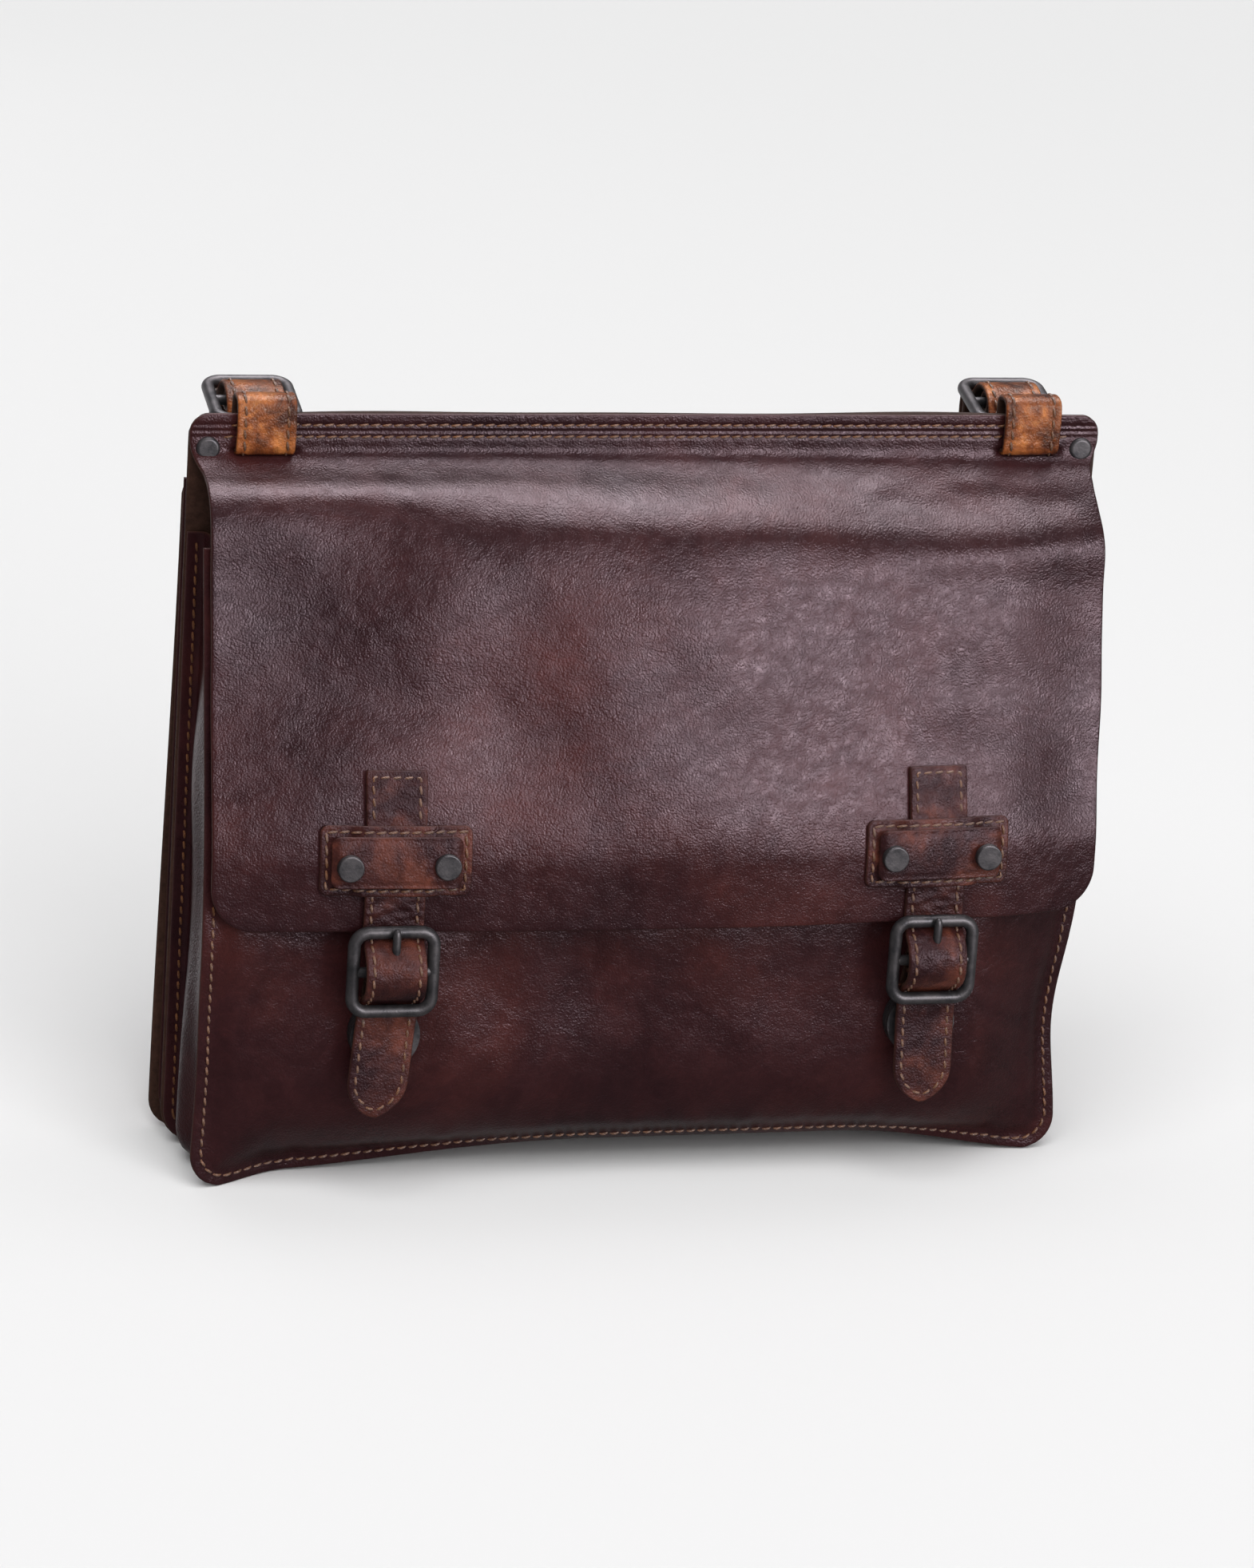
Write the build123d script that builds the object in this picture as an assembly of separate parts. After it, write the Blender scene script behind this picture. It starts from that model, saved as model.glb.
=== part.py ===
"""Leather satchel: a flapped bag with two buckled closures and a buckled shoulder strap.

Drawing frame, in millimetres: X runs across the bag, Z is up, and the back panel's front face is
the plane y = 0, with the front of the bag towards -Y. Every solid is moved by ROW_SHIFT when it is
written, so that the part's origin is the middle of its base.
"""

import os
from math import cos, hypot, radians, sin

from build123d import *

os.makedirs("parts", exist_ok=True)

# ---------------------------------------------------------------- driving dimensions
BAG_WIDTH = 385.0
BAG_HEIGHT = 316.0
LEATHER = 2.4  # body leather
THIN_LEATHER = 1.8  # gusset leather
STRAP_LEATHER = 2.6  # straps, two layers sewn together
STRAP_WIDTH = 25.0
WIRE_R = 2.6  # buckle wire
BAR_R = 2.2  # buckle centre bar
GAP = 0.4  # clearance between pieces that move past each other

FLANGE = 8.0  # width of the sewn seam flanges
CORNER_R = 16.0
BEYOND = 400.0  # further than any piece reaches, for cutting shapes

# main compartment
FRONT_BOTTOM_Y = -49.0
BELLY_Y = -61.8
FRONT_WIDTH_TOP = 380.0
FRONT_WIDTH_BOTTOM = 376.0
FRONT_TOP = (-27.0, 266.0)

# rear pocket
REAR_Y = 18.0
REAR_TOP_Z = 284.0

# flap
FLAP_AXIS = (-9.6, 286.4)  # y, z of the line that it bends about
FLAP_FACE_Y = -70.8
FLAP_OUTER_Y = FLAP_FACE_Y - LEATHER / 2
FLAP_BOTTOM_Z = 118.0
FLAP_WIDTH_TOP = 381.0
FLAP_WIDTH_BOTTOM = 375.0
FOLD_Z = 294.8  # where the sewn band starts to bend forward to the flap
FOLD_CLEARANCE = 1.4  # room for the opened flap between its axis and the band

# closures on the flap, one each side
CLOSURE_X = 114.0
CLOSURE_Z = 103.0  # middle of the buckle
CLOSURE_Y = FLAP_OUTER_Y - 2 * GAP - STRAP_LEATHER - WIRE_R  # plane of the buckle wire
PATCH_SIZE = (62.0, 28.0)
PATCH_LEATHER = 2.0  # thickness of the patch and of the bridge
PATCH_Z = 148.0
BRIDGE_SIZE = (53.0, 20.0)
STUD_SPACING = 40.0
STUD_HEAD_R = 5.4
STUD_HEAD_HEIGHT = 3.0
STUD_CAP_R = 4.0
STUD_SHANK_R = 2.0
STRAP_TOP_Z = 183.0
MAGNET_R = 14.5
MAGNET_Z = 72.0
CUP_HEIGHT = 3.0
CUP_FLOOR = 2.0
POST_R = 1.5

# buckle frame, measured along the wire's centreline
FRAME_WIDTH = 33.0
FRAME_HEIGHT = 33.8
FRAME_CORNER_R = 6.0
HALF_FRAME = FRAME_HEIGHT / 2

# top loops and rear buckles
LOOP_X = 162.0
SLOT_Z = 300.0
SLOT_SIZE = (STRAP_WIDTH + 1.5, 3.8)
SLOT_CORNER_R = 1.6
LOOP_FRONT_Y = -6.0
LOOP_TOP_Z = 322.4
REAR_BUCKLE = (28.0, 313.5)  # y, z of the centre bar
REAR_TILT = 13.0  # how far the rear buckle's plane rises from level

# shoulder strap
STRAP_THICKNESS = 3.4
STRAP_HANG_Y = 50.0  # middle of the strap's width where it hangs edge-on to the bag
STRAP_BEND_R = 90.0
STRAP_FLOOR_Z = 2.0  # middle of the strap's thickness where it lies on the ground
TONGUE_DROP = 44.0  # how far a billet's end hangs below the strap's hinge

# buckle threading
BULGE = 9.0  # how far the strap's middle stands out over the centre bar
UNDER = WIRE_R + GAP + STRAP_LEATHER / 2  # how far it dips behind the outer bars
PRONG_SLOT = 4.6  # width of the slot that the prong passes through
STRAP_SLOT = (-0.6, 15.5)  # where the slot in the strap starts and ends, along the buckle

# the drawing's y = 0 plane is moved so that the box is centred on the origin
FRONT_MOST = CLOSURE_Y - BULGE - STRAP_LEATHER / 2
BACK_MOST = STRAP_HANG_Y + STRAP_WIDTH / 2
ROW_SHIFT = -(FRONT_MOST + BACK_MOST) / 2

SIDES = {"left": -1, "right": 1}


# ---------------------------------------------------------------- helpers
def save(name, shape):
    """Writes one node, moved from the drawing frame to the part's own frame."""
    export_step(Pos(0, ROW_SHIFT, 0) * shape, f"parts/{name}.step")


def ribbon(points, radii, thickness):
    """A flat-sided strip of even thickness with rounded ends, as a face in the plane of points."""
    path = FilletPolyline(*points, radius=radii) if radii else Polyline(*points)
    return make_face(path.wire().offset_2d(thickness / 2, kind=Kind.ARC, side=Side.BOTH))


def strip(points, radii, thickness, width, x=0.0):
    """A strip that follows points in the YZ plane, with its width across X."""
    face = Plane.YZ * ribbon(points, radii, thickness)
    return Pos(x, 0, 0) * extrude(face, amount=width / 2, both=True)


def outline(bottom_width, top_width, bottom_z, top_z, bottom_r, top_r):
    """A trapezoid in the XZ plane with rounded corners, as a thick prism along Y."""
    corners = [
        (-bottom_width / 2, bottom_z),
        (bottom_width / 2, bottom_z),
        (top_width / 2, top_z),
        (-top_width / 2, top_z),
    ]
    face = make_face(Polyline(*corners, close=True))
    low = [v for v in face.vertices() if abs(v.Y - bottom_z) < 1e-6]
    face = fillet(low, bottom_r)
    if top_r:
        high = [v for v in face.vertices() if abs(v.Y - top_z) < 1e-6]
        face = fillet(high, top_r)
    return extrude(Plane.XZ * face, amount=BEYOND, both=True)


def slab(width, y_low, y_high, z_low, z_high, corner_r, x=0.0):
    """An upright plate with rounded corners."""
    depth = y_high - y_low
    face = RectangleRounded(width, z_high - z_low, corner_r)
    plane = Plane(origin=(x, y_high, (z_low + z_high) / 2), x_dir=(1, 0, 0), z_dir=(0, -1, 0))
    return plane * extrude(face, amount=depth)


def pin(radius, y_low, y_high, x, z):
    """A cylinder along Y."""
    plane = Plane(origin=(x, y_high, z), x_dir=(1, 0, 0), z_dir=(0, -1, 0))
    return plane * extrude(Circle(radius), amount=y_high - y_low)


def closure_plane(side):
    """The front buckle's own frame: X across, Y up along the strap, Z out of the flap."""
    return Plane(
        origin=(side * CLOSURE_X, CLOSURE_Y, CLOSURE_Z), x_dir=(1, 0, 0), z_dir=(0, -1, 0)
    )


def rear_plane(side):
    """The rear buckle's own frame: Y points back to the bag's top edge, Z out of the leather."""
    tilt = radians(REAR_TILT)
    return Plane(
        origin=(side * LOOP_X, *REAR_BUCKLE), x_dir=(-1, 0, 0), z_dir=(0, -sin(tilt), cos(tilt))
    )


def to_yz(side, along, out):
    """A point of the rear buckle's own frame, as (y, z) in the drawing frame."""
    point = rear_plane(side).from_local_coords(Vector(0, along, out))
    return point.Y, point.Z


# ---------------------------------------------------------------- buckles, in their own frame
def buckle_frame():
    """A rounded square of wire with a bar across its middle."""
    ring = RectangleRounded(FRAME_WIDTH, FRAME_HEIGHT, FRAME_CORNER_R).face().outer_wire()
    section = Plane(origin=(0, HALF_FRAME, 0), x_dir=(0, 1, 0), z_dir=(1, 0, 0)) * Circle(WIRE_R)
    bar_face = Plane(origin=(-FRAME_WIDTH / 2, 0, 0), x_dir=(0, 1, 0), z_dir=(1, 0, 0)) * Circle(BAR_R)
    return sweep(section, path=ring) + extrude(bar_face, amount=FRAME_WIDTH)


def buckle_prong():
    """A tongue of wire that turns on the centre bar and rests across the top bar."""
    prong_width, inner_r, outer_r = 3.2, BAR_R + 0.08, BAR_R + 2.0
    rest_height = WIRE_R + 1.5
    tip = HALF_FRAME + 1.8
    eye = Plane.YZ * (Circle(outer_r) - Circle(inner_r))
    eye = extrude(eye, amount=prong_width / 2, both=True)
    shank = strip([(1.6, outer_r - 1.1), (9.0, rest_height), (tip, rest_height)], [14], 2.2, prong_width)
    shank -= extrude(Plane.YZ * Circle(inner_r), amount=prong_width, both=True)
    return eye + shank


def prong_slot(low, high):
    """The space that the prong needs in the leather around it."""
    return Pos(0, (low + high) / 2, 0) * Box(PRONG_SLOT, high - low, BEYOND)


def threaded_strap(lead_in, lead_out):
    """The strap's run behind the top bar, over the centre bar and behind the bottom bar."""
    points = [lead_in, (13.8, -UNDER), (6.8, BULGE), (-6.8, BULGE), (-13.8, -UNDER), lead_out]
    run = strip(points, [3.5, 5, 5, 3.5], STRAP_LEATHER, STRAP_WIDTH)
    return run - prong_slot(*STRAP_SLOT)


CHAPE_R = BAR_R + 0.15
CHAPE_LEATHER = 2.2
TAB_GAP = 0.2  # between a chape's tail and the strap in front of it


def chape(tail, thickness=CHAPE_LEATHER, width=22.0):
    """The leather tab folded round the centre bar, with its tail behind the threaded strap."""
    drop = -UNDER - STRAP_LEATHER / 2 - TAB_GAP - thickness / 2
    eye = Plane.YZ * (Circle(CHAPE_R + thickness) - Circle(CHAPE_R))
    eye = extrude(eye, amount=width / 2, both=True)
    points = [(-2.0, -CHAPE_R - thickness / 2), (-6.5, -CHAPE_R - thickness / 2), (-11.0, drop), *tail(drop)]
    radii = [6] * (len(points) - 2)
    tab = strip(points, radii, thickness, width) - extrude(
        Plane.YZ * Circle(CHAPE_R), amount=width, both=True
    )
    return (eye + tab) - prong_slot(-4.2, 20)


# ---------------------------------------------------------------- bag body
FRONT_PATH = [
    (FRONT_BOTTOM_Y, LEATHER / 2),
    (FRONT_BOTTOM_Y, 9.0),
    (BELLY_Y, 34.0),
    (BELLY_Y, 130.0),
    (-31.0, 248.0),
    FRONT_TOP,
]
FRONT_RADII = [9, 26, 160, 60]


def front_outline(inset=0.0):
    return outline(
        FRONT_WIDTH_BOTTOM - 2 * inset,
        FRONT_WIDTH_TOP - 2 * inset,
        inset,
        BEYOND if inset else FRONT_TOP[1] + LEATHER,
        CORNER_R - inset / 2,
        0,
    )


def front_panel():
    sheet = strip(FRONT_PATH, FRONT_RADII, LEATHER, BAG_WIDTH)
    panel = sheet & front_outline()
    for side in SIDES.values():
        panel -= pin(POST_R + 0.05, -BEYOND, 0, side * CLOSURE_X, MAGNET_Z)
    return panel


def back_outline(inset, top_z, top_r=0.0):
    width = BAG_WIDTH - 2 * inset
    return outline(width, width, inset, top_z, CORNER_R - inset / 2, top_r)


RIVET_X = BAG_WIDTH / 2 - 7.5
RIVET_Z = BAG_HEIGHT - 14.8
RIVET_SHANK_R = 1.6
RIVET_CAP_R = 4.9
RIVET_CAP_HEIGHT = 1.6
RIVET_BASE_R = 4.4
RIVET_BASE_HEIGHT = 1.2
TOP_CORNER_R = 8.0


def loop_slot(side):
    """The slot that a top loop passes through, cut through both sheets of the top edge."""
    width, height = SLOT_SIZE
    low, high = SLOT_Z - height / 2, SLOT_Z + height / 2
    return slab(width, -4 * LEATHER, 2 * LEATHER, low, high, SLOT_CORNER_R, side * LOOP_X)


def rivet_hole(side):
    return pin(RIVET_SHANK_R, -4 * LEATHER, 2 * LEATHER, side * RIVET_X, RIVET_Z)


def back_panel():
    sheet = slab(BAG_WIDTH, 0, LEATHER, 0, BAG_HEIGHT, TOP_CORNER_R)
    sheet &= back_outline(0, BAG_HEIGHT, TOP_CORNER_R)
    for side in SIDES.values():
        sheet -= loop_slot(side) + rivet_hole(side)
    return sheet


def flap_top_band():
    """The flap's top edge, sewn and riveted to the back panel, down to the line it bends about."""
    fold = (-LEATHER / 2, FOLD_Z)
    to_axis = (FLAP_AXIS[0] - fold[0], FLAP_AXIS[1] - fold[1])
    reach = 1 - (LEATHER + FOLD_CLEARANCE) / hypot(*to_axis)
    end = (fold[0] + reach * to_axis[0], fold[1] + reach * to_axis[1])
    path = [(-LEATHER / 2, BAG_HEIGHT), fold, end]
    edge_step = 0.5  # the flap's raw edge stops this far below the back panel's
    band = strip(path, [3], LEATHER, BAG_WIDTH) & back_outline(0, BAG_HEIGHT - edge_step, TOP_CORNER_R)
    for side in SIDES.values():
        band -= loop_slot(side) + rivet_hole(side)
    return band


def u_wall(outer, inner, y_low, y_high):
    """What lies between two outlines, from y_low to y_high: side walls joined by a floor."""
    span = Pos(0, (y_low + y_high) / 2, 0) * Box(2 * BEYOND, y_high - y_low, 2 * BEYOND)
    return (outer - inner) & span


def main_gusset():
    """One strip of leather down, along and up the edge, with a flange sewn to each panel."""
    path = FilletPolyline(*FRONT_PATH, radius=FRONT_RADII)
    closing = Polyline(path @ 1, (0, FRONT_TOP[1]), (0, LEATHER / 2), path @ 0)
    panel = ribbon(FRONT_PATH, FRONT_RADII, LEATHER)
    section = extrude(Plane.YZ * (make_face(path + closing) - panel), amount=BAG_WIDTH / 2, both=True)
    wall = (front_outline(FLANGE) - front_outline(FLANGE + THIN_LEATHER)) & section
    layer = ribbon(FRONT_PATH, FRONT_RADII, LEATHER + 2 * THIN_LEATHER) & make_face(path + closing)
    front_flange = extrude(Plane.YZ * (layer - panel), amount=BAG_WIDTH / 2, both=True)
    front_flange &= front_outline() - front_outline(FLANGE + THIN_LEATHER)
    back_flange = u_wall(
        back_outline(0, FRONT_TOP[1]), back_outline(FLANGE + THIN_LEATHER + 3, BEYOND), -THIN_LEATHER, 0
    )
    return wall + front_flange + back_flange


def rear_pocket_gusset():
    """The narrow strip between the back panel and the rear pocket's panel."""
    outer, top = back_outline(FLANGE, REAR_TOP_Z), REAR_TOP_Z
    inner = back_outline(FLANGE + THIN_LEATHER, BEYOND)
    wall = u_wall(outer, inner, LEATHER, REAR_Y)
    edge = back_outline(1, top)
    wall += u_wall(edge, inner, LEATHER, LEATHER + THIN_LEATHER)
    return wall + u_wall(edge, inner, REAR_Y - THIN_LEATHER, REAR_Y)


def rear_pocket_panel():
    return slab(BAG_WIDTH, REAR_Y, REAR_Y + LEATHER, 0, REAR_TOP_Z, 6) & back_outline(0, REAR_TOP_Z, 10)


BOARD_SIZE = (330.0, 42.0, 2.0)
BOARD_Y = -24.6


def bottom_board():
    """The stiffener that lies on the gusset's floor."""
    floor = FLANGE + THIN_LEATHER
    width, depth, thickness = BOARD_SIZE
    plate = Pos(0, BOARD_Y, floor + 0.2 + thickness / 2) * Box(width, depth, thickness)
    return fillet(plate.edges().filter_by(Axis.Z), 5)


POCKET_WIDTH = 250.0
POCKET_Z = (90.0, 240.0)
POCKET_DEPTH = 5.2
POCKET_LEATHER = 1.4
POCKET_SEAM = 6.0


def inner_pocket():
    """A patch pocket on the inside of the back panel, open along its top."""
    low, high = POCKET_Z
    face_y = -POCKET_DEPTH
    front = slab(POCKET_WIDTH, face_y - POCKET_LEATHER, face_y, low, high, 8)
    rim = slab(POCKET_WIDTH, face_y, 0, low, high, 8)
    inside = slab(POCKET_WIDTH - 2 * POCKET_SEAM, face_y - 1, 1, low + POCKET_SEAM, high + 20, 6)
    return front + (rim - inside)


def corner_rivets():
    """Domed caps on both faces of the top corners, joined by their shanks."""
    caps = []
    for side in SIDES.values():
        x = side * RIVET_X
        front = pin(RIVET_CAP_R, -LEATHER - RIVET_CAP_HEIGHT, -LEATHER, x, RIVET_Z)
        front = fillet(front.edges().group_by(Axis.Y)[0], 0.9 * RIVET_CAP_HEIGHT)
        back = pin(RIVET_BASE_R, LEATHER, LEATHER + RIVET_BASE_HEIGHT, x, RIVET_Z)
        shank = pin(RIVET_SHANK_R, -1.2 * LEATHER, 1.2 * LEATHER, x, RIVET_Z)
        caps.append(front + back + shank)
    return Compound(caps)


def magnet_base(side):
    """The lower half of the magnetic catch: a cup on the panel, a post and a washer inside."""
    x = side * CLOSURE_X
    face = BELLY_Y - LEATHER / 2
    rim = MAGNET_R - 2.5
    cup = pin(MAGNET_R, face - CUP_HEIGHT, face, x, MAGNET_Z)
    cup -= pin(rim, face - CUP_HEIGHT, face - CUP_FLOOR, x, MAGNET_Z)
    inside = face + LEATHER
    washer = pin(9, inside, inside + 1.0, x, MAGNET_Z)
    return cup + washer + pin(POST_R, face - CUP_FLOOR, inside + 0.5, x, MAGNET_Z)


# ---------------------------------------------------------------- flap and what is sewn to it
FLAP_PATH = [
    FLAP_AXIS,
    (-36.0, 262.0),
    (FLAP_FACE_Y, 158.0),
    (FLAP_FACE_Y, FLAP_BOTTOM_Z + LEATHER / 2),
]
FLAP_RADII = [30, 36]


def flap():
    sheet = strip(FLAP_PATH, FLAP_RADII, LEATHER, BAG_WIDTH)
    sheet &= outline(FLAP_WIDTH_BOTTOM, FLAP_WIDTH_TOP, FLAP_BOTTOM_Z, 330, 20, 0)
    for side in SIDES.values():
        for stud in (-1, 1):
            x = side * CLOSURE_X + stud * STUD_SPACING / 2
            sheet -= pin(STUD_SHANK_R, -BEYOND, BEYOND, x, PATCH_Z)
    return sheet


def closure_top(side):
    """The closure's upper parts: strap end, sewn patch, bridge and its two studs."""
    x = side * CLOSURE_X
    strap_face = FLAP_OUTER_Y - STRAP_LEATHER
    patch_face = strap_face - PATCH_LEATHER
    bridge_face = patch_face - PATCH_LEATHER
    hinge_z = CLOSURE_Z + LEAD_IN[0]
    strap_bottom = hinge_z + STRAP_LEATHER / 2 + GAP
    strap = slab(STRAP_WIDTH, strap_face, FLAP_OUTER_Y, strap_bottom, STRAP_TOP_Z, 1.2, x)
    width, height = PATCH_SIZE
    patch = slab(width, patch_face, FLAP_OUTER_Y, PATCH_Z - height / 2, PATCH_Z + height / 2, 4, x)
    channel = Box(STRAP_WIDTH + 0.6, STRAP_LEATHER + 0.02, 2 * height)
    patch -= Pos(x, (strap_face + FLAP_OUTER_Y) / 2, PATCH_Z) * channel
    width, height = BRIDGE_SIZE
    bridge = slab(width, bridge_face, patch_face, PATCH_Z - height / 2, PATCH_Z + height / 2, 3, x)
    studs = []
    for stud in (-1, 1):
        at = (x + stud * STUD_SPACING / 2, PATCH_Z)
        head = pin(STUD_HEAD_R, bridge_face - STUD_HEAD_HEIGHT, bridge_face, *at)
        head = fillet(head.edges().group_by(Axis.Y)[0], 0.6)
        inside = FLAP_OUTER_Y + LEATHER
        shank = pin(STUD_SHANK_R, bridge_face - 1, inside + 0.5, *at)
        cap = pin(STUD_CAP_R, inside, inside + 1.0, *at)
        studs.append(head + shank + cap)
        hole = pin(STUD_SHANK_R, -BEYOND, BEYOND, *at)
        patch -= hole
        bridge -= hole
    return strap, patch, bridge, Compound(studs)


# ---------------------------------------------------------------- hanging closure
LEAD_IN = (29.0, CLOSURE_Y - FLAP_OUTER_Y + STRAP_LEATHER / 2)  # where it leaves the patch
LEAD_OUT = (-21.4, -UNDER)  # where the free tongue starts
TONGUE_AXIS = (-24.4, -UNDER)
TONGUE_TIP = -64.0


def closure_run(side):
    return closure_plane(side) * threaded_strap(LEAD_IN, LEAD_OUT)


def tongue_face(top, tip, width):
    """A strap end: straight sides that close in a pointed arch."""
    half = width / 2
    spring = tip + 1.25 * half
    sides = Polyline((-half, spring), (-half, top), (half, top), (half, spring))
    right = ThreePointArc((half, spring), (0.72 * half, tip + 0.52 * half), (0, tip))
    left = ThreePointArc((0, tip), (-0.72 * half, tip + 0.52 * half), (-half, spring))
    return make_face(sides + right + left)


def tongue_plate(top, tip, out):
    plate = extrude(tongue_face(top, tip, STRAP_WIDTH), amount=STRAP_LEATHER / 2, both=True)
    return Pos(0, 0, out) * plate


def closure_tongue(side):
    nose = strip([(TONGUE_AXIS[0], -UNDER), (TONGUE_AXIS[0] - 4, -UNDER)], None, STRAP_LEATHER, STRAP_WIDTH)
    return closure_plane(side) * (nose + tongue_plate(TONGUE_AXIS[0] - 1, TONGUE_TIP, -UNDER))


def closure_chape(side):
    magnet_at = MAGNET_Z - CLOSURE_Z
    tab = chape(lambda drop: [(magnet_at - 8, drop)])
    return closure_plane(side) * (tab - Pos(0, magnet_at, 0) * Cylinder(POST_R, BEYOND))


def magnet_cap(side):
    """The upper half of the magnetic catch, riveted through the chape's tail."""
    chape_back = CLOSURE_Y + UNDER + STRAP_LEATHER / 2 + TAB_GAP + CHAPE_LEATHER
    face = BELLY_Y - LEATHER / 2 - CUP_HEIGHT - GAP
    x = side * CLOSURE_X
    disc = pin(MAGNET_R, chape_back, face, x, MAGNET_Z)
    return disc + pin(POST_R, chape_back - CHAPE_LEATHER + 0.1, chape_back + 0.5, x, MAGNET_Z)


# ---------------------------------------------------------------- top loops and rear buckles
BILLET_AXIS = (5.8, 316.6)  # where the billet flexes behind the top edge
BILLET_CORNER = (23.8, -UNDER)  # where it turns to run under the buckle, in the buckle's frame
STRAP_AXIS_OUT = -UNDER - STRAP_LEATHER - TAB_GAP
STRAP_AXIS_ALONG = -HALF_FRAME - 6.0


def top_loop(side):
    """The billet's fixed part: through the slot, up the front, over the top edge."""
    inner_y = LEATHER + 0.4 + STRAP_LEATHER / 2
    points = [
        (inner_y, SLOT_Z - 12),
        (inner_y, SLOT_Z),
        (LOOP_FRONT_Y, SLOT_Z),
        (LOOP_FRONT_Y, LOOP_TOP_Z),
        (BILLET_AXIS[0], LOOP_TOP_Z),
        (BILLET_AXIS[0], BILLET_AXIS[1] + STRAP_LEATHER + GAP),
    ]
    return strip(points, [1.7, 1.7, 6.0, 2.6], STRAP_LEATHER, STRAP_WIDTH, side * LOOP_X)


def local_along_out(side, y, z):
    local = rear_plane(side).to_local_coords(Vector(side * LOOP_X, y, z))
    return local.Y, local.Z


def rear_billet(side):
    """The billet's run through the rear buckle."""
    start = local_along_out(side, *BILLET_AXIS)
    points = [
        start,
        BILLET_CORNER,
        (13.8, -UNDER),
        (6.8, BULGE),
        (-6.8, BULGE),
        (-13.8, -UNDER),
        (-17.5, -UNDER),
    ]
    run = strip(points, [2.5, 3.5, 5, 5, 1.6], STRAP_LEATHER, STRAP_WIDTH)
    return rear_plane(side) * (run - prong_slot(*STRAP_SLOT))


def rear_chape(side):
    tab = chape(lambda drop: [(STRAP_AXIS_ALONG + 3.4, drop)], thickness=2.6)
    return rear_plane(side) * tab


# ---------------------------------------------------------------- shoulder strap
def strap_axis():
    return to_yz(1, STRAP_AXIS_ALONG, STRAP_AXIS_OUT)


def shoulder_strap():
    """Hangs from both rear buckles, turns edge-on, and lies across the ground behind the bag."""
    axis_y, axis_z = strap_axis()
    twist_top, twist_bottom = axis_z - TONGUE_DROP - 8.0, 150.0
    steps = 12
    body = None
    for side in SIDES.values():
        x = side * LOOP_X
        top = strip([(axis_y, axis_z), (axis_y, twist_top)], None, STRAP_THICKNESS, STRAP_WIDTH, x)
        body = top if body is None else body + top
        sections = []
        for i in range(steps + 1):
            t = i / steps
            ease = t * t * (3 - 2 * t)
            centre_y = axis_y + ease * (STRAP_HANG_Y - axis_y)
            z = twist_top + t * (twist_bottom - twist_top)
            place = Plane(origin=(x, centre_y, z)) * Rot(0, 0, 90 * ease)
            sections.append(place * Rectangle(STRAP_WIDTH, STRAP_THICKNESS))
        body += loft(sections, ruled=True)
    hang = FilletPolyline(
        (-LOOP_X, twist_bottom),
        (-LOOP_X, STRAP_FLOOR_Z),
        (LOOP_X, STRAP_FLOOR_Z),
        (LOOP_X, twist_bottom),
        radius=STRAP_BEND_R,
    )
    face = make_face(hang.wire().offset_2d(STRAP_THICKNESS / 2, kind=Kind.ARC, side=Side.BOTH))
    loop = extrude(Plane.XZ * face, amount=STRAP_WIDTH / 2, both=True)
    trim = Pos(0, 0, twist_bottom + 50) * Box(2 * BEYOND, 2 * BEYOND, 100)
    return body + (Pos(0, STRAP_HANG_Y, 0) * (loop - trim))


def billet_tongue(side):
    """The billet's free end, hanging behind the shoulder strap."""
    axis_y, axis_z = strap_axis()
    y = axis_y + STRAP_THICKNESS / 2 + 0.3 + STRAP_LEATHER / 2
    plane = Plane(origin=(side * LOOP_X, y, 0), x_dir=(-1, 0, 0), z_dir=(0, 1, 0))
    return plane * tongue_plate(axis_z - 2.5, axis_z - TONGUE_DROP, 0)


# ---------------------------------------------------------------- write every node
for node, make in {
    "back_panel": back_panel,
    "flap_top_band": flap_top_band,
    "front_panel": front_panel,
    "main_gusset": main_gusset,
    "rear_pocket_panel": rear_pocket_panel,
    "rear_pocket_gusset": rear_pocket_gusset,
    "bottom_board": bottom_board,
    "inner_pocket": inner_pocket,
    "corner_rivets": corner_rivets,
    "flap": flap,
    "shoulder_strap": shoulder_strap,
}.items():
    save(node, make())

for word, side in SIDES.items():
    strap, patch, bridge, studs = closure_top(side)
    save(f"{word}_closure_strap", strap)
    save(f"{word}_closure_patch", patch)
    save(f"{word}_closure_bridge", bridge)
    save(f"{word}_closure_studs", studs)
    save(f"{word}_closure_run", closure_run(side))
    save(f"{word}_closure_buckle", closure_plane(side) * buckle_frame())
    save(f"{word}_closure_prong", closure_plane(side) * buckle_prong())
    save(f"{word}_closure_chape", closure_chape(side))
    save(f"{word}_closure_tongue", closure_tongue(side))
    save(f"{word}_magnet_cap", magnet_cap(side))
    save(f"{word}_magnet_base", magnet_base(side))
    save(f"{word}_top_loop", top_loop(side))
    save(f"{word}_rear_billet", rear_billet(side))
    save(f"{word}_rear_buckle", rear_plane(side) * buckle_frame())
    save(f"{word}_rear_prong", rear_plane(side) * buckle_prong())
    save(f"{word}_rear_chape", rear_chape(side))
    save(f"{word}_billet_tongue", billet_tongue(side))
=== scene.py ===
"""Looks of the leather satchel: soft leather sheets, straps, threads, metal and the studio.

Shapes are worked out in millimetres in the drawing frame: X across, Z up, the front towards -Y, and
y = 0 on the back panel's front face. to_row() turns them into metres in the model's own frame.
A sheet is described by a function place(x, t): x runs across the leather and t along it.
"""

from math import ceil, cos, pi, radians, sin, sqrt

import bpy
import numpy as np
from mathutils import Matrix, Vector


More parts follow.
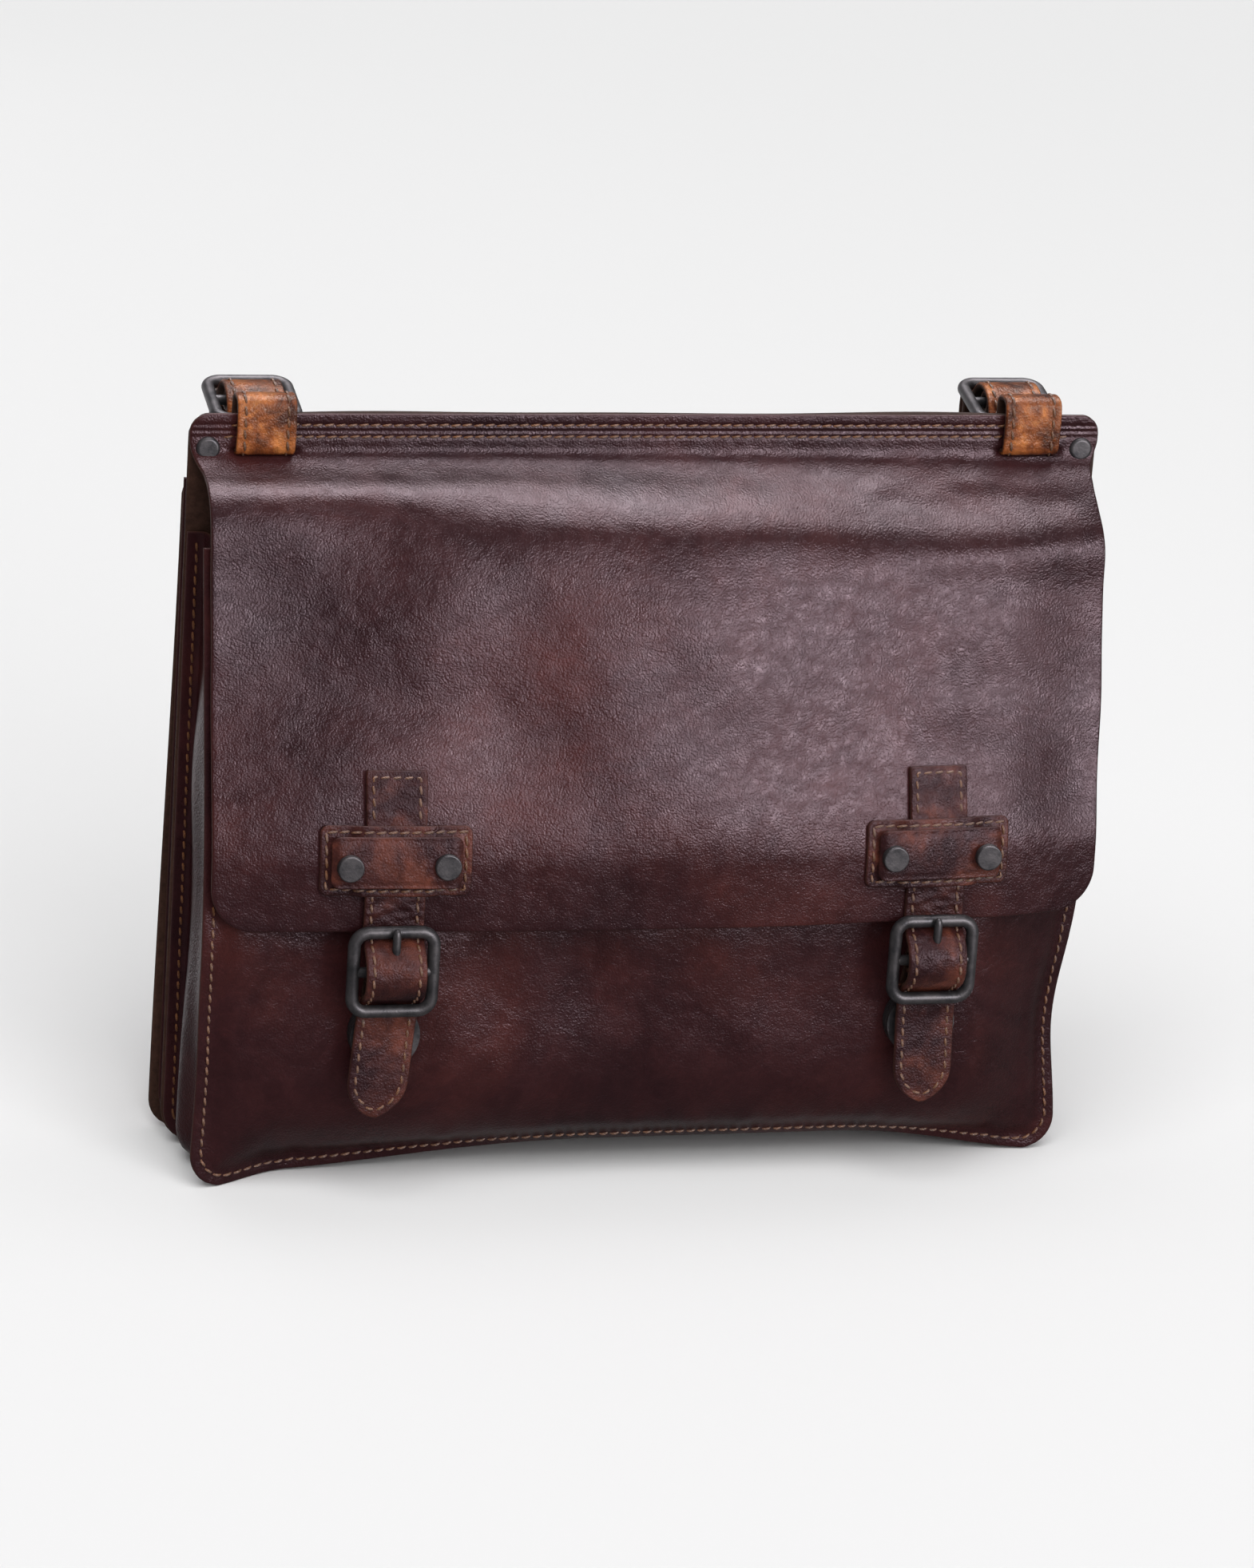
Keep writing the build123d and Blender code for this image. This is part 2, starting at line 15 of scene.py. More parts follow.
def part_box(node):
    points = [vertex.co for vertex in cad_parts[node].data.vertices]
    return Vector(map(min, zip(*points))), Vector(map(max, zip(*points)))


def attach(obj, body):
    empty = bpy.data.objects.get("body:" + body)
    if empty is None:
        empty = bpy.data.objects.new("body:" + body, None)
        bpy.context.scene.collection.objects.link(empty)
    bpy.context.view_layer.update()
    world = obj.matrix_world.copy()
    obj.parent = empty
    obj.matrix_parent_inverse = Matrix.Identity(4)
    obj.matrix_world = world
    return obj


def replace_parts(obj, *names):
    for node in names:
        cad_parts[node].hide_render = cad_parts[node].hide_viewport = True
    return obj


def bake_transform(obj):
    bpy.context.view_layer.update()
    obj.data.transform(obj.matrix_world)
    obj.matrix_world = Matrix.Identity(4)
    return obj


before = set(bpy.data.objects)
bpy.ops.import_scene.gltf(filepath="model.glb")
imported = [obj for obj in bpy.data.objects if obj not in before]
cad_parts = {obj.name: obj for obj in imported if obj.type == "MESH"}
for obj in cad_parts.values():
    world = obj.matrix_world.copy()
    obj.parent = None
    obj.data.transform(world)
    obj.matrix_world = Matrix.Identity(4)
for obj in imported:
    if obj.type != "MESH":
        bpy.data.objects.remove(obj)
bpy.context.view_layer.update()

MM = 0.001
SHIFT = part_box("back_panel")[0].y / MM  # where the drawing's y = 0 lies in the model
SIDES = {"left": -1, "right": 1}


def span(node, axis):
    """(lowest, highest) of a CAD node along x, y or z, in drawing millimetres."""
    low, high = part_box(node)
    shift = SHIFT if axis == 1 else 0.0
    return low[axis] / MM - shift, high[axis] / MM - shift


def middle_of(node, axis):
    low, high = span(node, axis)
    return (low + high) / 2


# ---------------------------------------------------------------- sizes
BODY_LEATHER = 2.4
STRAP_LEATHER = 2.6
STITCH = 4.7  # one stitch and the gap after it
THREAD_R = 0.6
STRAP_THREAD_SUNK = 0.35  # how far a thread's axis lies below a strap's face
HALF_WIDTH = span("back_panel", 0)[1]
BAG_TOP = span("back_panel", 2)[1]
FLAP_BOTTOM = span("flap", 2)[0]
LOOP_X = middle_of("right_top_loop", 0)
CLOSURE_X, CLOSURE_Y, CLOSURE_Z = [middle_of("right_closure_buckle", axis) for axis in range(3)]
MAGNET_Z = middle_of("right_magnet_base", 2)
FLAP_OUTER_Y = span("left_closure_strap", 1)[1]
STRAP_HALF = (span("left_closure_strap", 0)[1] - span("left_closure_strap", 0)[0]) / 2


# ---------------------------------------------------------------- small maths
def smooth(low, high, value):
    """0 below low, 1 above high, and a smooth ramp between them."""
    share = np.clip((value - low) / (high - low), 0, 1)
    return share * share * (3 - 2 * share)


def hump(value, centre, width):
    return np.exp(-(((value - centre) / width) ** 2))


def waves(x, t, wavelength, seed, count=14):
    """A smooth random relief, mostly between -1 and 1, whose humps are about wavelength across."""
    rng = np.random.default_rng(seed)
    total = np.zeros(np.broadcast(x, t).shape)
    for _ in range(count):
        angle, phase = rng.uniform(0, pi), rng.uniform(0, 2 * pi)
        k = 2 * pi / (wavelength * rng.uniform(0.7, 1.5))
        total += np.sin(k * (x * cos(angle) + t * sin(angle)) + phase)
    return total / sqrt(count)


def to_row(points):
    return (np.asarray(points, float) + [0, SHIFT, 0]) * MM


def row_point(x, y, z):
    return Vector(to_row([x, y, z]))


def smooth_path(points, rounds=4):
    """Cuts the corners off a polyline until it is smooth. Returns its length and a function that gives
    the point at a distance along it."""
    line = np.array(points, float)
    for _ in range(rounds):
        a, b = line[:-1], line[1:]
        cut = np.stack([0.75 * a + 0.25 * b, 0.25 * a + 0.75 * b], 1).reshape(-1, line.shape[1])
        line = np.vstack([line[:1], cut, line[-1:]])
    at = np.concatenate([[0], np.cumsum(np.linalg.norm(np.diff(line, axis=0), axis=1))])

    def point(distance):
        distance = np.clip(distance, 0, at[-1])
        return np.stack([np.interp(distance, at, line[:, k]) for k in range(line.shape[1])], -1)

    return at[-1], point


def corner_inset(distance, radius):
    """How far a rounded corner cuts in, at a distance from the end that it rounds."""
    gap = np.clip(radius - distance, 0, radius)
    return radius - np.sqrt(np.maximum(radius**2 - gap**2, 0))


# ---------------------------------------------------------------- meshes
def make_mesh(name, points, quads, material, inner_material=None, inner=None, values=None):
    """A smooth mesh from arrays: points in drawing millimetres, quads as corner numbers."""
    mesh = bpy.data.meshes.new(name)
    quads = np.asarray(quads, np.int32)
    mesh.vertices.add(len(points))
    mesh.vertices.foreach_set("co", to_row(points).astype(np.float32).ravel())
    mesh.loops.add(quads.size)
    mesh.loops.foreach_set("vertex_index", quads.ravel())
    mesh.polygons.add(len(quads))
    mesh.polygons.foreach_set("loop_start", np.arange(0, quads.size, 4, dtype=np.int32))
    mesh.polygons.foreach_set("use_smooth", np.ones(len(quads), bool))
    mesh.materials.append(material)
    if inner_material is not None:
        mesh.materials.append(inner_material)
        mesh.polygons.foreach_set("material_index", np.asarray(inner, np.int32))
    for key, (kind, field, data) in (values or {}).items():
        attribute = mesh.attributes.new(key, kind, "POINT")
        attribute.data.foreach_set(field, np.asarray(data, np.float32).ravel())
    mesh.update()
    mesh.validate()
    piece = bpy.data.objects.new(name, mesh)
    bpy.context.scene.collection.objects.link(piece)
    return piece


RIM_STEPS = 4


def grid_lines(length, step, rim, fine=()):
    """For each line of a grid: its share of the inner span, its offset into the rim, and how much of
    the full thickness the sheet has there. fine lists (low, high) stretches with closer lines."""
    inner = length - 2 * rim
    marks = [np.linspace(0, inner, max(3, ceil(inner / step)))]
    marks += [np.arange(low, high, 0.45) for low, high in fine]
    marks = np.unique(np.round(np.concatenate(marks), 2))
    marks = np.concatenate([marks[:-1][np.diff(marks) > 0.25], [inner]])
    angles = np.linspace(0, pi / 2, RIM_STEPS + 1)[:-1]
    inset, rise = -rim * np.cos(angles), np.sin(angles) ** 0.7
    none = np.zeros(RIM_STEPS)
    share = np.concatenate([none, marks / inner, none + 1])
    offset = np.concatenate([inset, 0 * marks, -inset[::-1]])
    height = np.concatenate([rise, 0 * marks + 1, rise[::-1]])
    return share, offset, height


def spread(lines, low, high, rim):
    share, offset, _ = lines
    return low + rim + share * (high - low - 2 * rim) + offset


def cross_normals(points):
    along, across = np.gradient(points, axis=0), np.gradient(points, axis=1)
    normal = np.cross(along, across)
    return normal / np.maximum(np.linalg.norm(normal, axis=-1, keepdims=True), 1e-9)


def sheet(name, place, edges, start, end, materials, thickness=BODY_LEATHER, step=2.0, rim=0.9, relief=None,
          fine_rows=()):
    """A sheet of leather with rounded cut edges.

    place(x, t) gives the middle of its thickness, edges(t) its left and right edges, and relief(x, t)
    what stands out of its outer face. The outer face looks along (direction of t) x (direction of x).
    """
    widest = max(right - left for left, right in [edges(t) for t in np.linspace(start, end, 9)])
    rows = grid_lines(end - start, step, rim, fine_rows)
    columns = grid_lines(widest, step, rim)
    t = spread(rows, start, end, rim)[:, None]
    left, right = edges(t)
    x = spread(columns, left, right, rim)
    t = np.broadcast_to(t, x.shape)
    height = np.minimum(rows[2][:, None], columns[2][None, :])
    middle = place(x, t)
    normal = cross_normals(middle)
    out = thickness / 2 * height
    top = middle + normal * (out + (relief(x, t) * height if relief else 0))[..., None]
    under = middle - normal * out[..., None]

    shape = x.shape
    number = np.arange(x.size).reshape(shape)
    inside = np.zeros(shape, bool)
    inside[1:-1, 1:-1] = True
    below = number.copy()
    below[inside] = x.size + np.arange(inside.sum())
    faces = [
        np.stack([g[:-1, :-1], g[1:, :-1], g[1:, 1:], g[:-1, 1:]], -1).reshape(-1, 4)
        for g in (number, below)
    ]
    quads = np.vstack([faces[0], faces[1][:, ::-1]])
    points = np.vstack([top.reshape(-1, 3), under[inside]])
    paper = np.stack([x, t, np.full(shape, len(name) * 37.0)], -1)
    paper = np.vstack([paper.reshape(-1, 3), paper[inside] + [0, 0, 500]]) * MM
    cut = np.concatenate([1 - height.ravel(), 1 - height[inside]])
    on_inner = np.repeat([0, 1], len(faces[0]))
    outer_material, inner_material = materials
    return make_mesh(
        name, points, quads, outer_material, inner_material, on_inner,
        {"paper": ("FLOAT_VECTOR", "vector", paper), "cut": ("FLOAT", "value", cut)},
    )


def surface_at(place, x, t, outward):
    """Points standing outward off a sheet's middle surface, and the sheet's normals there."""
    reach = 0.4
    here = place(x, t)
    normal = np.cross(place(x, t + reach) - place(x, t - reach), place(x + reach, t) - place(x - reach, t))
    normal /= np.maximum(np.linalg.norm(normal, axis=-1, keepdims=True), 1e-9)
    return here + normal * np.asarray(outward)[..., None], normal


def stitches(name, place, route, outward, material, pitch=STITCH):
    """A row of threads along a route of (x, t) points on a sheet, each one slanted and sunk at its ends."""
    route = np.array(route, float)
    at = np.concatenate([[0], np.cumsum(np.linalg.norm(np.diff(route, axis=0), axis=1))])
    count = max(1, int(at[-1] / pitch))
    pitch = at[-1] / count
    sunk, rings, sides = 0.55, 6, 6
    ahead = (np.arange(count)[:, None] + np.linspace(0.04, 0.96, rings)[None, :]) * pitch
    x = np.interp(ahead, at, route[:, 0])
    t = np.interp(ahead, at, route[:, 1])
    dx, dt = np.gradient(x, axis=1), np.gradient(t, axis=1)
    length = np.maximum(np.hypot(dx, dt), 1e-9)
    slant = np.linspace(0.3, -0.3, rings)[None, :]
    rng = np.random.default_rng(len(name))
    slant = slant + rng.uniform(-0.12, 0.12, (count, 1))
    x, t = x - slant * dt / length, t + slant * dx / length
    arch = np.sin(np.linspace(0, pi, rings))[None, :] ** 0.6
    lift = outward - sunk + (sunk + 0.42 + rng.uniform(-0.06, 0.06, (count, 1))) * arch
    centre, normal = surface_at(place, x, t, lift)
    tangent = np.gradient(centre, axis=1)
    tangent /= np.maximum(np.linalg.norm(tangent, axis=-1, keepdims=True), 1e-9)
    side = np.cross(normal, tangent)
    radius = THREAD_R * (0.72 + 0.28 * arch)[..., None, None]
    turn = np.arange(sides) * 2 * pi / sides
    ring = np.cos(turn)[:, None] * normal[..., None, :] + np.sin(turn)[:, None] * side[..., None, :]
    points = (centre[..., None, :] + radius * ring).reshape(-1, 3)
    number = np.arange(count * rings * sides).reshape(count, rings, sides)
    around = np.roll(number, -1, axis=2)
    tube = np.stack([number[:, :-1], number[:, 1:], around[:, 1:], around[:, :-1]], -1).reshape(-1, 4)
    near, far = number[:, 0], number[:, -1]
    caps = [near[:, [0, 1, 2, 3]], near[:, [0, 3, 4, 5]], far[:, [3, 2, 1, 0]], far[:, [5, 4, 3, 0]]]
    along = np.broadcast_to(ahead[..., None], (count, rings, sides))
    paper = np.stack([along, np.broadcast_to(turn, along.shape), np.zeros(along.shape)], -1) * MM
    return make_mesh(name, points, np.vstack([tube, *caps]), material,
                     values={"paper": ("FLOAT_VECTOR", "vector", paper.reshape(-1, 3))})


# ---------------------------------------------------------------- materials
def new_material(name):
    material = bpy.data.materials.new(name)
    material.use_nodes = True
    nodes = material.node_tree.nodes
    return material, nodes, material.node_tree.links, nodes["Principled BSDF"]


def add(nodes, kind, **settings):
    node = nodes.new(kind)
    for key, value in settings.items():
        if key in node.inputs:
            node.inputs[key].default_value = value
        else:
            setattr(node, key, value)
    return node


def attribute(nodes, name, output):
    return add(nodes, "ShaderNodeAttribute", attribute_name=name).outputs[output]


def fill_in(links, sockets, values):
    """Gives each socket its value, or links it where the value is another node's output."""
    for socket, value in zip(sockets, values):
        if isinstance(value, bpy.types.NodeSocket):
            links.new(value, socket)
        else:
            socket.default_value = value


def set_bump(nodes, links, shader, height, strength, distance):
    bump = add(nodes, "ShaderNodeBump", Strength=strength, Distance=distance)
    links.new(height, bump.inputs["Height"])
    links.new(bump.outputs["Normal"], shader.inputs["Normal"])


def ramp(nodes, links, source, stops, colours):
    node = nodes.new("ShaderNodeValToRGB")
    band = node.color_ramp
    while len(band.elements) < len(stops):
        band.elements.new(0.5)
    for element, stop, colour in zip(band.elements, stops, colours):
        element.position = stop
        element.color = (*colour, 1)
    links.new(source, node.inputs["Fac"])
    return node.outputs["Color"]


def mix(nodes, links, blend, factor, a, b):
    node = nodes.new("ShaderNodeMix")
    node.data_type = "RGBA"
    node.blend_type = blend
    fill_in(links, (node.inputs[0], node.inputs[6], node.inputs[7]), (factor, a, b))
    return node.outputs[2]


def math(nodes, links, operation, *values):
    node = nodes.new("ShaderNodeMath")
    node.operation = operation
    fill_in(links, node.inputs, values)
    return node.outputs[0]


def noise(nodes, links, vector, scale, detail=3.0, roughness=0.55, distortion=0.0):
    node = add(nodes, "ShaderNodeTexNoise", Scale=scale, Detail=detail, Roughness=roughness,
               Distortion=distortion)
    links.new(vector, node.inputs["Vector"])
    return node.outputs["Fac"]


def leather(name, dark, middle, red, roughness=0.36, gloss=0.13, grain=1.0, mottle=9.0, contrast=1.0,
            cut_colour=(0.05, 0.02, 0.014), sheen_colour=(1.0, 0.8, 0.88)):
    """Waxed leather: mottled colour, fine pebble grain, creases darkened by painted shade in their valleys,
    and a rubbed cut edge.
    """
    material, nodes, links, shader = new_material(name)
    paper = attribute(nodes, "paper", "Vector")
    cut = attribute(nodes, "cut", "Fac")

    broad = noise(nodes, links, paper, mottle, 4, 0.6, 0.4)
    patches = noise(nodes, links, paper, mottle * 3.5, 5, 0.65, 0.8)
    reach = 0.18 / contrast
    colour = ramp(nodes, links, broad, (0.52 - reach, 0.52, 0.52 + reach), (dark, middle, red))
    tint = ramp(nodes, links, patches, (0.35, 0.65), ((0.78, 0.78, 0.8), (1.18, 1.1, 1.06)))
    colour = mix(nodes, links, "MULTIPLY", 1.0, colour, tint)

    pebbles = add(nodes, "ShaderNodeTexVoronoi", feature="SMOOTH_F1", Scale=1150.0, Smoothness=0.6)
    warp = noise(nodes, links, paper, 260.0, 2)
    bent = add(nodes, "ShaderNodeVectorMath", operation="ADD")
    bend = add(nodes, "ShaderNodeVectorMath", operation="SCALE", Scale=0.0016)
    spread_warp = add(nodes, "ShaderNodeCombineXYZ")
    links.new(warp, spread_warp.inputs["X"])
    links.new(warp, spread_warp.inputs["Y"])
    links.new(spread_warp.outputs[0], bend.inputs[0])
    links.new(paper, bent.inputs[0])
    links.new(bend.outputs[0], bent.inputs[1])
    links.new(bent.outputs[0], pebbles.inputs["Vector"])
    pebble = pebbles.outputs["Distance"]
    crease = noise(nodes, links, bent.outputs[0], 135.0, 8, 0.7, 1.2)
    ridge = math(nodes, links, "ABSOLUTE", math(nodes, links, "SUBTRACT", crease, 0.5))
    height = math(nodes, links, "ADD", math(nodes, links, "MULTIPLY", pebble, -0.75),
                  math(nodes, links, "MULTIPLY", ridge, 2.2))
    # painted shade: the colour is darkened along the valleys of the crease bump, as shade in the creases
    crease_shade = ramp(nodes, links, ridge, (0.0, 0.1), ((0.72, 0.7, 0.7), (1.0, 1.0, 1.0)))
    colour = mix(nodes, links, "MULTIPLY", 0.6, colour, crease_shade)
    colour = mix(nodes, links, "MIX", cut, colour, (*cut_colour, 1))
    links.new(colour, shader.inputs["Base Color"])

    set_bump(nodes, links, shader, height, 0.8, 0.00022 * grain)
    rough = math(nodes, links, "MULTIPLY_ADD", patches, 0.24, roughness - 0.12)
    rough = math(nodes, links, "ADD", rough, math(nodes, links, "MULTIPLY", cut, 0.3))
    links.new(rough, shader.inputs["Roughness"])
    shader.inputs["Specular IOR Level"].default_value = gloss
    shader.inputs["Specular Tint"].default_value = (*sheen_colour, 1)
    return material


def flesh_side():
    """The matt, fibrous inside of the leather."""
    material, nodes, links, shader = new_material("flesh_side")
    paper = attribute(nodes, "paper", "Vector")
    fibres = noise(nodes, links, paper, 420.0, 8, 0.75)
    broad = noise(nodes, links, paper, 18.0, 3)
    colour = ramp(nodes, links, fibres, (0.3, 0.7), ((0.022, 0.01, 0.007), (0.055, 0.026, 0.018)))
    shade = ramp(nodes, links, broad, (0.3, 0.7), ((0.8, 0.8, 0.8), (1.1, 1.1, 1.1)))
    links.new(mix(nodes, links, "MULTIPLY", 1.0, colour, shade), shader.inputs["Base Color"])
    set_bump(nodes, links, shader, fibres, 0.5, 0.0004)
    shader.inputs["Roughness"].default_value = 0.85
    shader.inputs["Specular IOR Level"].default_value = 0.15
    return material


def thread_material(name, pale, deep):
    """Waxed thread: two plies wound round each other."""
    material, nodes, links, shader = new_material(name)
    paper = attribute(nodes, "paper", "Vector")
    plies = add(nodes, "ShaderNodeTexWave", Scale=520.0, Distortion=1.5, bands_direction="DIAGONAL")
    links.new(paper, plies.inputs["Vector"])
    wear = noise(nodes, links, paper, 90.0, 2)
    colour = ramp(nodes, links, plies.outputs["Fac"], (0.1, 0.8), (deep, pale))
    shade = ramp(nodes, links, wear, (0.3, 0.7), ((0.6, 0.6, 0.6), (1.15, 1.15, 1.15)))
    links.new(mix(nodes, links, "MULTIPLY", 1.0, colour, shade), shader.inputs["Base Color"])
    set_bump(nodes, links, shader, plies.outputs["Fac"], 0.6, 0.0002)
    shader.inputs["Roughness"].default_value = 0.6
    return material


def gunmetal():
    """Blackened steel with a cast, slightly rubbed surface."""
    material, nodes, links, shader = new_material("gunmetal")
    shader.inputs["Specular IOR Level"].default_value = 0.25
    where = add(nodes, "ShaderNodeTexCoord").outputs["Object"]
    blotch = noise(nodes, links, where, 160.0, 5, 0.65)
    pits = noise(nodes, links, where, 1300.0, 3, 0.6)
    colour = ramp(nodes, links, blotch, (0.35, 0.7), ((0.02, 0.019, 0.021), (0.055, 0.05, 0.052)))
    links.new(colour, shader.inputs["Base Color"])
    links.new(math(nodes, links, "MULTIPLY_ADD", blotch, 0.3, 0.33), shader.inputs["Roughness"])
    set_bump(nodes, links, shader, math(nodes, links, "ADD", pits, blotch), 0.25, 0.0003)
    shader.inputs["Metallic"].default_value = 0.55
    return material


def board_material():
    """Grey-brown fibreboard."""
    material, nodes, links, shader = new_material("board")
    paper = attribute(nodes, "paper", "Vector")
    fibres = noise(nodes, links, paper, 300.0, 6, 0.7, 1.5)
    links.new(ramp(nodes, links, fibres, (0.3, 0.7), ((0.05, 0.04, 0.03), (0.12, 0.1, 0.08))),
              shader.inputs["Base Color"])
    set_bump(nodes, links, shader, fibres, 0.3, 0.0003)
    shader.inputs["Roughness"].default_value = 0.85
    return material


BROWN = leather("brown_leather", (0.018, 0.0056, 0.0068), (0.029, 0.0082, 0.009), (0.05, 0.0125, 0.0108),
                roughness=0.31)
STRAP_BROWN = leather("strap_leather", (0.02, 0.006, 0.0066), (0.042, 0.0125, 0.0105), (0.1, 0.03, 0.019),
                      roughness=0.38, gloss=0.1, mottle=34.0, contrast=1.8, grain=1.6)
TAN = leather("tan_leather", (0.055, 0.013, 0.006), (0.25, 0.072, 0.02), (0.55, 0.2, 0.055), roughness=0.36,
              gloss=0.13, mottle=75.0, contrast=1.25, grain=1.6, cut_colour=(0.05, 0.018, 0.012),
              sheen_colour=(1.0, 0.92, 0.82))
FLESH = flesh_side()
BOARD = board_material()
LINING = leather("lining_leather", (0.05, 0.024, 0.014), (0.09, 0.042, 0.024), (0.12, 0.06, 0.035),
                 roughness=0.6)
THREAD = thread_material("brown_thread", (0.22, 0.085, 0.03), (0.07, 0.026, 0.011))
METAL = gunmetal()


# ---------------------------------------------------------------- what a piece moves with
def on_body(piece, body):
    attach(piece, body)
    return piece


def bend_across(pieces, slot, near_body, far_body, start, end):
    """Bakes each piece's transform into its mesh. The leather is not made to bend at a joint; slot,
    near_body, far_body, start and end are not used.
    """
    for piece in pieces:
        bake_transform(piece)


# ---------------------------------------------------------------- the flap
# y, z down the flap's middle: it leaves the seam, folds forward and hangs. The left side folds higher
# and stands further out than the right.
LEFT_HANG = [(-1.3, 315.6), (-1.3, 306), (-1.5, 298.5), (-8, 293.5), (-25, 289), (-41, 271), (-57, 206),
             (-70.6, 156), (-70.8, 135), (-70.8, FLAP_BOTTOM)]
RIGHT_HANG = [(-1.3, 315.6), (-1.3, 306), (-1.5, 298.5), (-5, 293), (-16, 285), (-35, 264), (-53, 204),
              (-70.0, 156), (-70.8, 135), (-70.6, FLAP_BOTTOM)]
LEFT_LENGTH, left_hang = smooth_path(LEFT_HANG)
RIGHT_LENGTH, right_hang = smooth_path(RIGHT_HANG)
FLAP_LENGTH = (LEFT_LENGTH + RIGHT_LENGTH) / 2


# Swellings and dents of the hanging flap: x, distance down it, half-widths both ways, height
FLAP_SHAPES = [
    (-145, 36, 60, 14, 3.6),
    (-165, 80, 48, 22, -3.8),
    (-96, 98, 36, 32, 2.6),
    (-192, 150, 60, 48, -6.5),
    (-72, 136, 34, 40, -2.8),
    (50, 105, 80, 55, 2.6),
    (145, 32, 60, 11, -2.6),
    (145, 60, 62, 14, 5.2),
    (165, 165, 50, 26, -2.0),
]
FLAP_BULGE = 5.0  # how far the flap's middle stands out between the closures


def flap_place(x, t):
    lean = smooth(-120, 150, x)[..., None]
    share = t / FLAP_LENGTH
    yz = (1 - lean) * left_hang(share * LEFT_LENGTH) + lean * right_hang(share * RIGHT_LENGTH)
    free = smooth(24, 52, t) * (1 - 0.4 * smooth(140, 200, t))
    calm = 1 - hump(abs(x) - CLOSURE_X, 0, 42) * smooth(120, 150, t)
    relief = 2.2 * waves(x, t, 170, 3) + 0.45 * waves(x, t * 1.2, 70, 5) + 0.07 * waves(x, t, 24, 9)
    for centre, down, wide, tall, high in FLAP_SHAPES:
        relief = relief + high * hump(x, centre, wide) * hump(t, down, tall)
    ripple = 0.3 * waves(x * 0.5, t, 11, 12) * hump(t, 34, 14)
    bulge = FLAP_BULGE * np.cos(pi * x / (2 * CLOSURE_X)) * smooth(24, 60, t)
    bulge = np.where((x < 0) & (bulge < 0), 0.5 * bulge, bulge)
    y = yz[..., 0] - (relief * free * calm + ripple + bulge)
    y = y + 7.0 * smooth(140, HALF_WIDTH, x) * smooth(40, 120, t)
    return np.stack([x, y, yz[..., 1] + 0 * x], -1)


def flap_edges(t):
    top = corner_inset(t, 8.0)
    foot = corner_inset(FLAP_LENGTH - t, 18.0)
    left = -HALF_WIDTH + 4.5 * smooth(10, 30, t) + top + foot
    right = HALF_WIDTH - 3.5 * smooth(10, 26, t) + 1.5 * smooth(30, 70, t)
    right = right - 3.0 * smooth(110, 190, t) - top - foot
    return left, right


def flap_row_at(z):
    """The distance t down the flap at a height z, in the middle of the flap."""
    t = np.linspace(0, FLAP_LENGTH, 800)
    heights = flap_place(np.zeros(800), t)[:, 2]
    return float(np.interp(-z, -heights, t))


def flap_grooves(x, t):
    """The dents under the two seams, the furrow between them, and the slots that the loops come out of."""
    seams = -0.35 * (hump(t, 4.6, 0.9) + hump(t, 9.4, 0.9)) - 0.45 * hump(t, 7.0, 0.8)
    slots = -1.6 * hump(t, 15.6, 1.5) * smooth(STRAP_HALF + 2.5, STRAP_HALF + 0.5, abs(abs(x) - LOOP_X))
    return seams + slots


def make_flap():
    piece = sheet("flap_leather", flap_place, flap_edges, 0, FLAP_LENGTH, (BROWN, FLESH), step=1.7,
                  relief=flap_grooves, fine_rows=[(2, 20)])
    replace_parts(piece, "flap", "flap_top_band")
    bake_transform(piece)
    for number, t in enumerate((4.6, 9.4)):
        route = [(-176 - 3 * number, t), (176 + 3 * number, t)]
        row = stitches(f"top_seam_{number + 1}", flap_place, route, BODY_LEATHER / 2 - 0.3, THREAD)
        on_body(row, "bag")


# ---------------------------------------------------------------- the bag's body
def profile(points):
    """y at any height z, from (y, z) points listed from the top down."""
    length, path = smooth_path(points)
    line = path(np.linspace(0, length, 500))[::-1]
    return lambda z: np.interp(z, line[:, 1], line[:, 0])


FRONT_TOP = span("front_panel", 2)[1]
FRONT_HALF = span("front_panel", 0)[1]
FRONT_LEFT = profile([(-31, 268), (-44.5, 215), (-60, 158), (-65.5, 114), (-63, 90), (-58, 55),
                      (-54, 30), (-54, 0)])
FRONT_MIDDLE = profile([(-28, 268), (-39, 215), (-55, 150), (-62, 118), (-62, 90), (-61.6, 56), (-57, 32),
                        (-46, 18), (-37, 11), (-36, 0)])
FRONT_RIGHT = profile([(-27, 268), (-34, 215), (-42, 150), (-41, 104), (-37, 64), (-38, 35), (-38, 0)])
FLANGE = 8.0  # the sewn edge outside the stitch groove
SEAM_INSET = 4.3  # from a sheet's edge to its row of stitches
CORNER_R = 16.0
FLANGE_SET_BACK = 2.4  # how far the sewn edge lies behind the bulging leather
GUSSET = 1.8  # thickness of the gusset leather


def front_bottom(x):
    """The bottom seam is lifted in the middle and touches the ground at both corners."""
    return 12.0 * smooth(-172, -15, x) * smooth(187, 90, x)


def front_right_edge(z):
    return FRONT_HALF - 0.5 - 6.0 * hump(z, 62, 36)


def front_left_edge(z):
    return -FRONT_HALF + 1.5 * hump(z, 40, 40)


def front_y(x, z):
    middle = FRONT_MIDDLE(z)
    left = smooth(-145, -190, x) * (FRONT_LEFT(z) - middle)
    right = smooth(132, 188, x) * (FRONT_RIGHT(z) - middle)
    return middle + left + right


def front_edges(t):
    z = FRONT_TOP - t
    inset = corner_inset(FRONT_TOP - t, CORNER_R)
    return front_left_edge(z) + inset, front_right_edge(z) - inset


def edge_distance(x, t, edges, bottom):
    """How far a point of a sheet is from its sides and its bottom."""
    left, right = edges(t)
    return np.minimum(np.minimum(x - left, right - x), bottom - t)


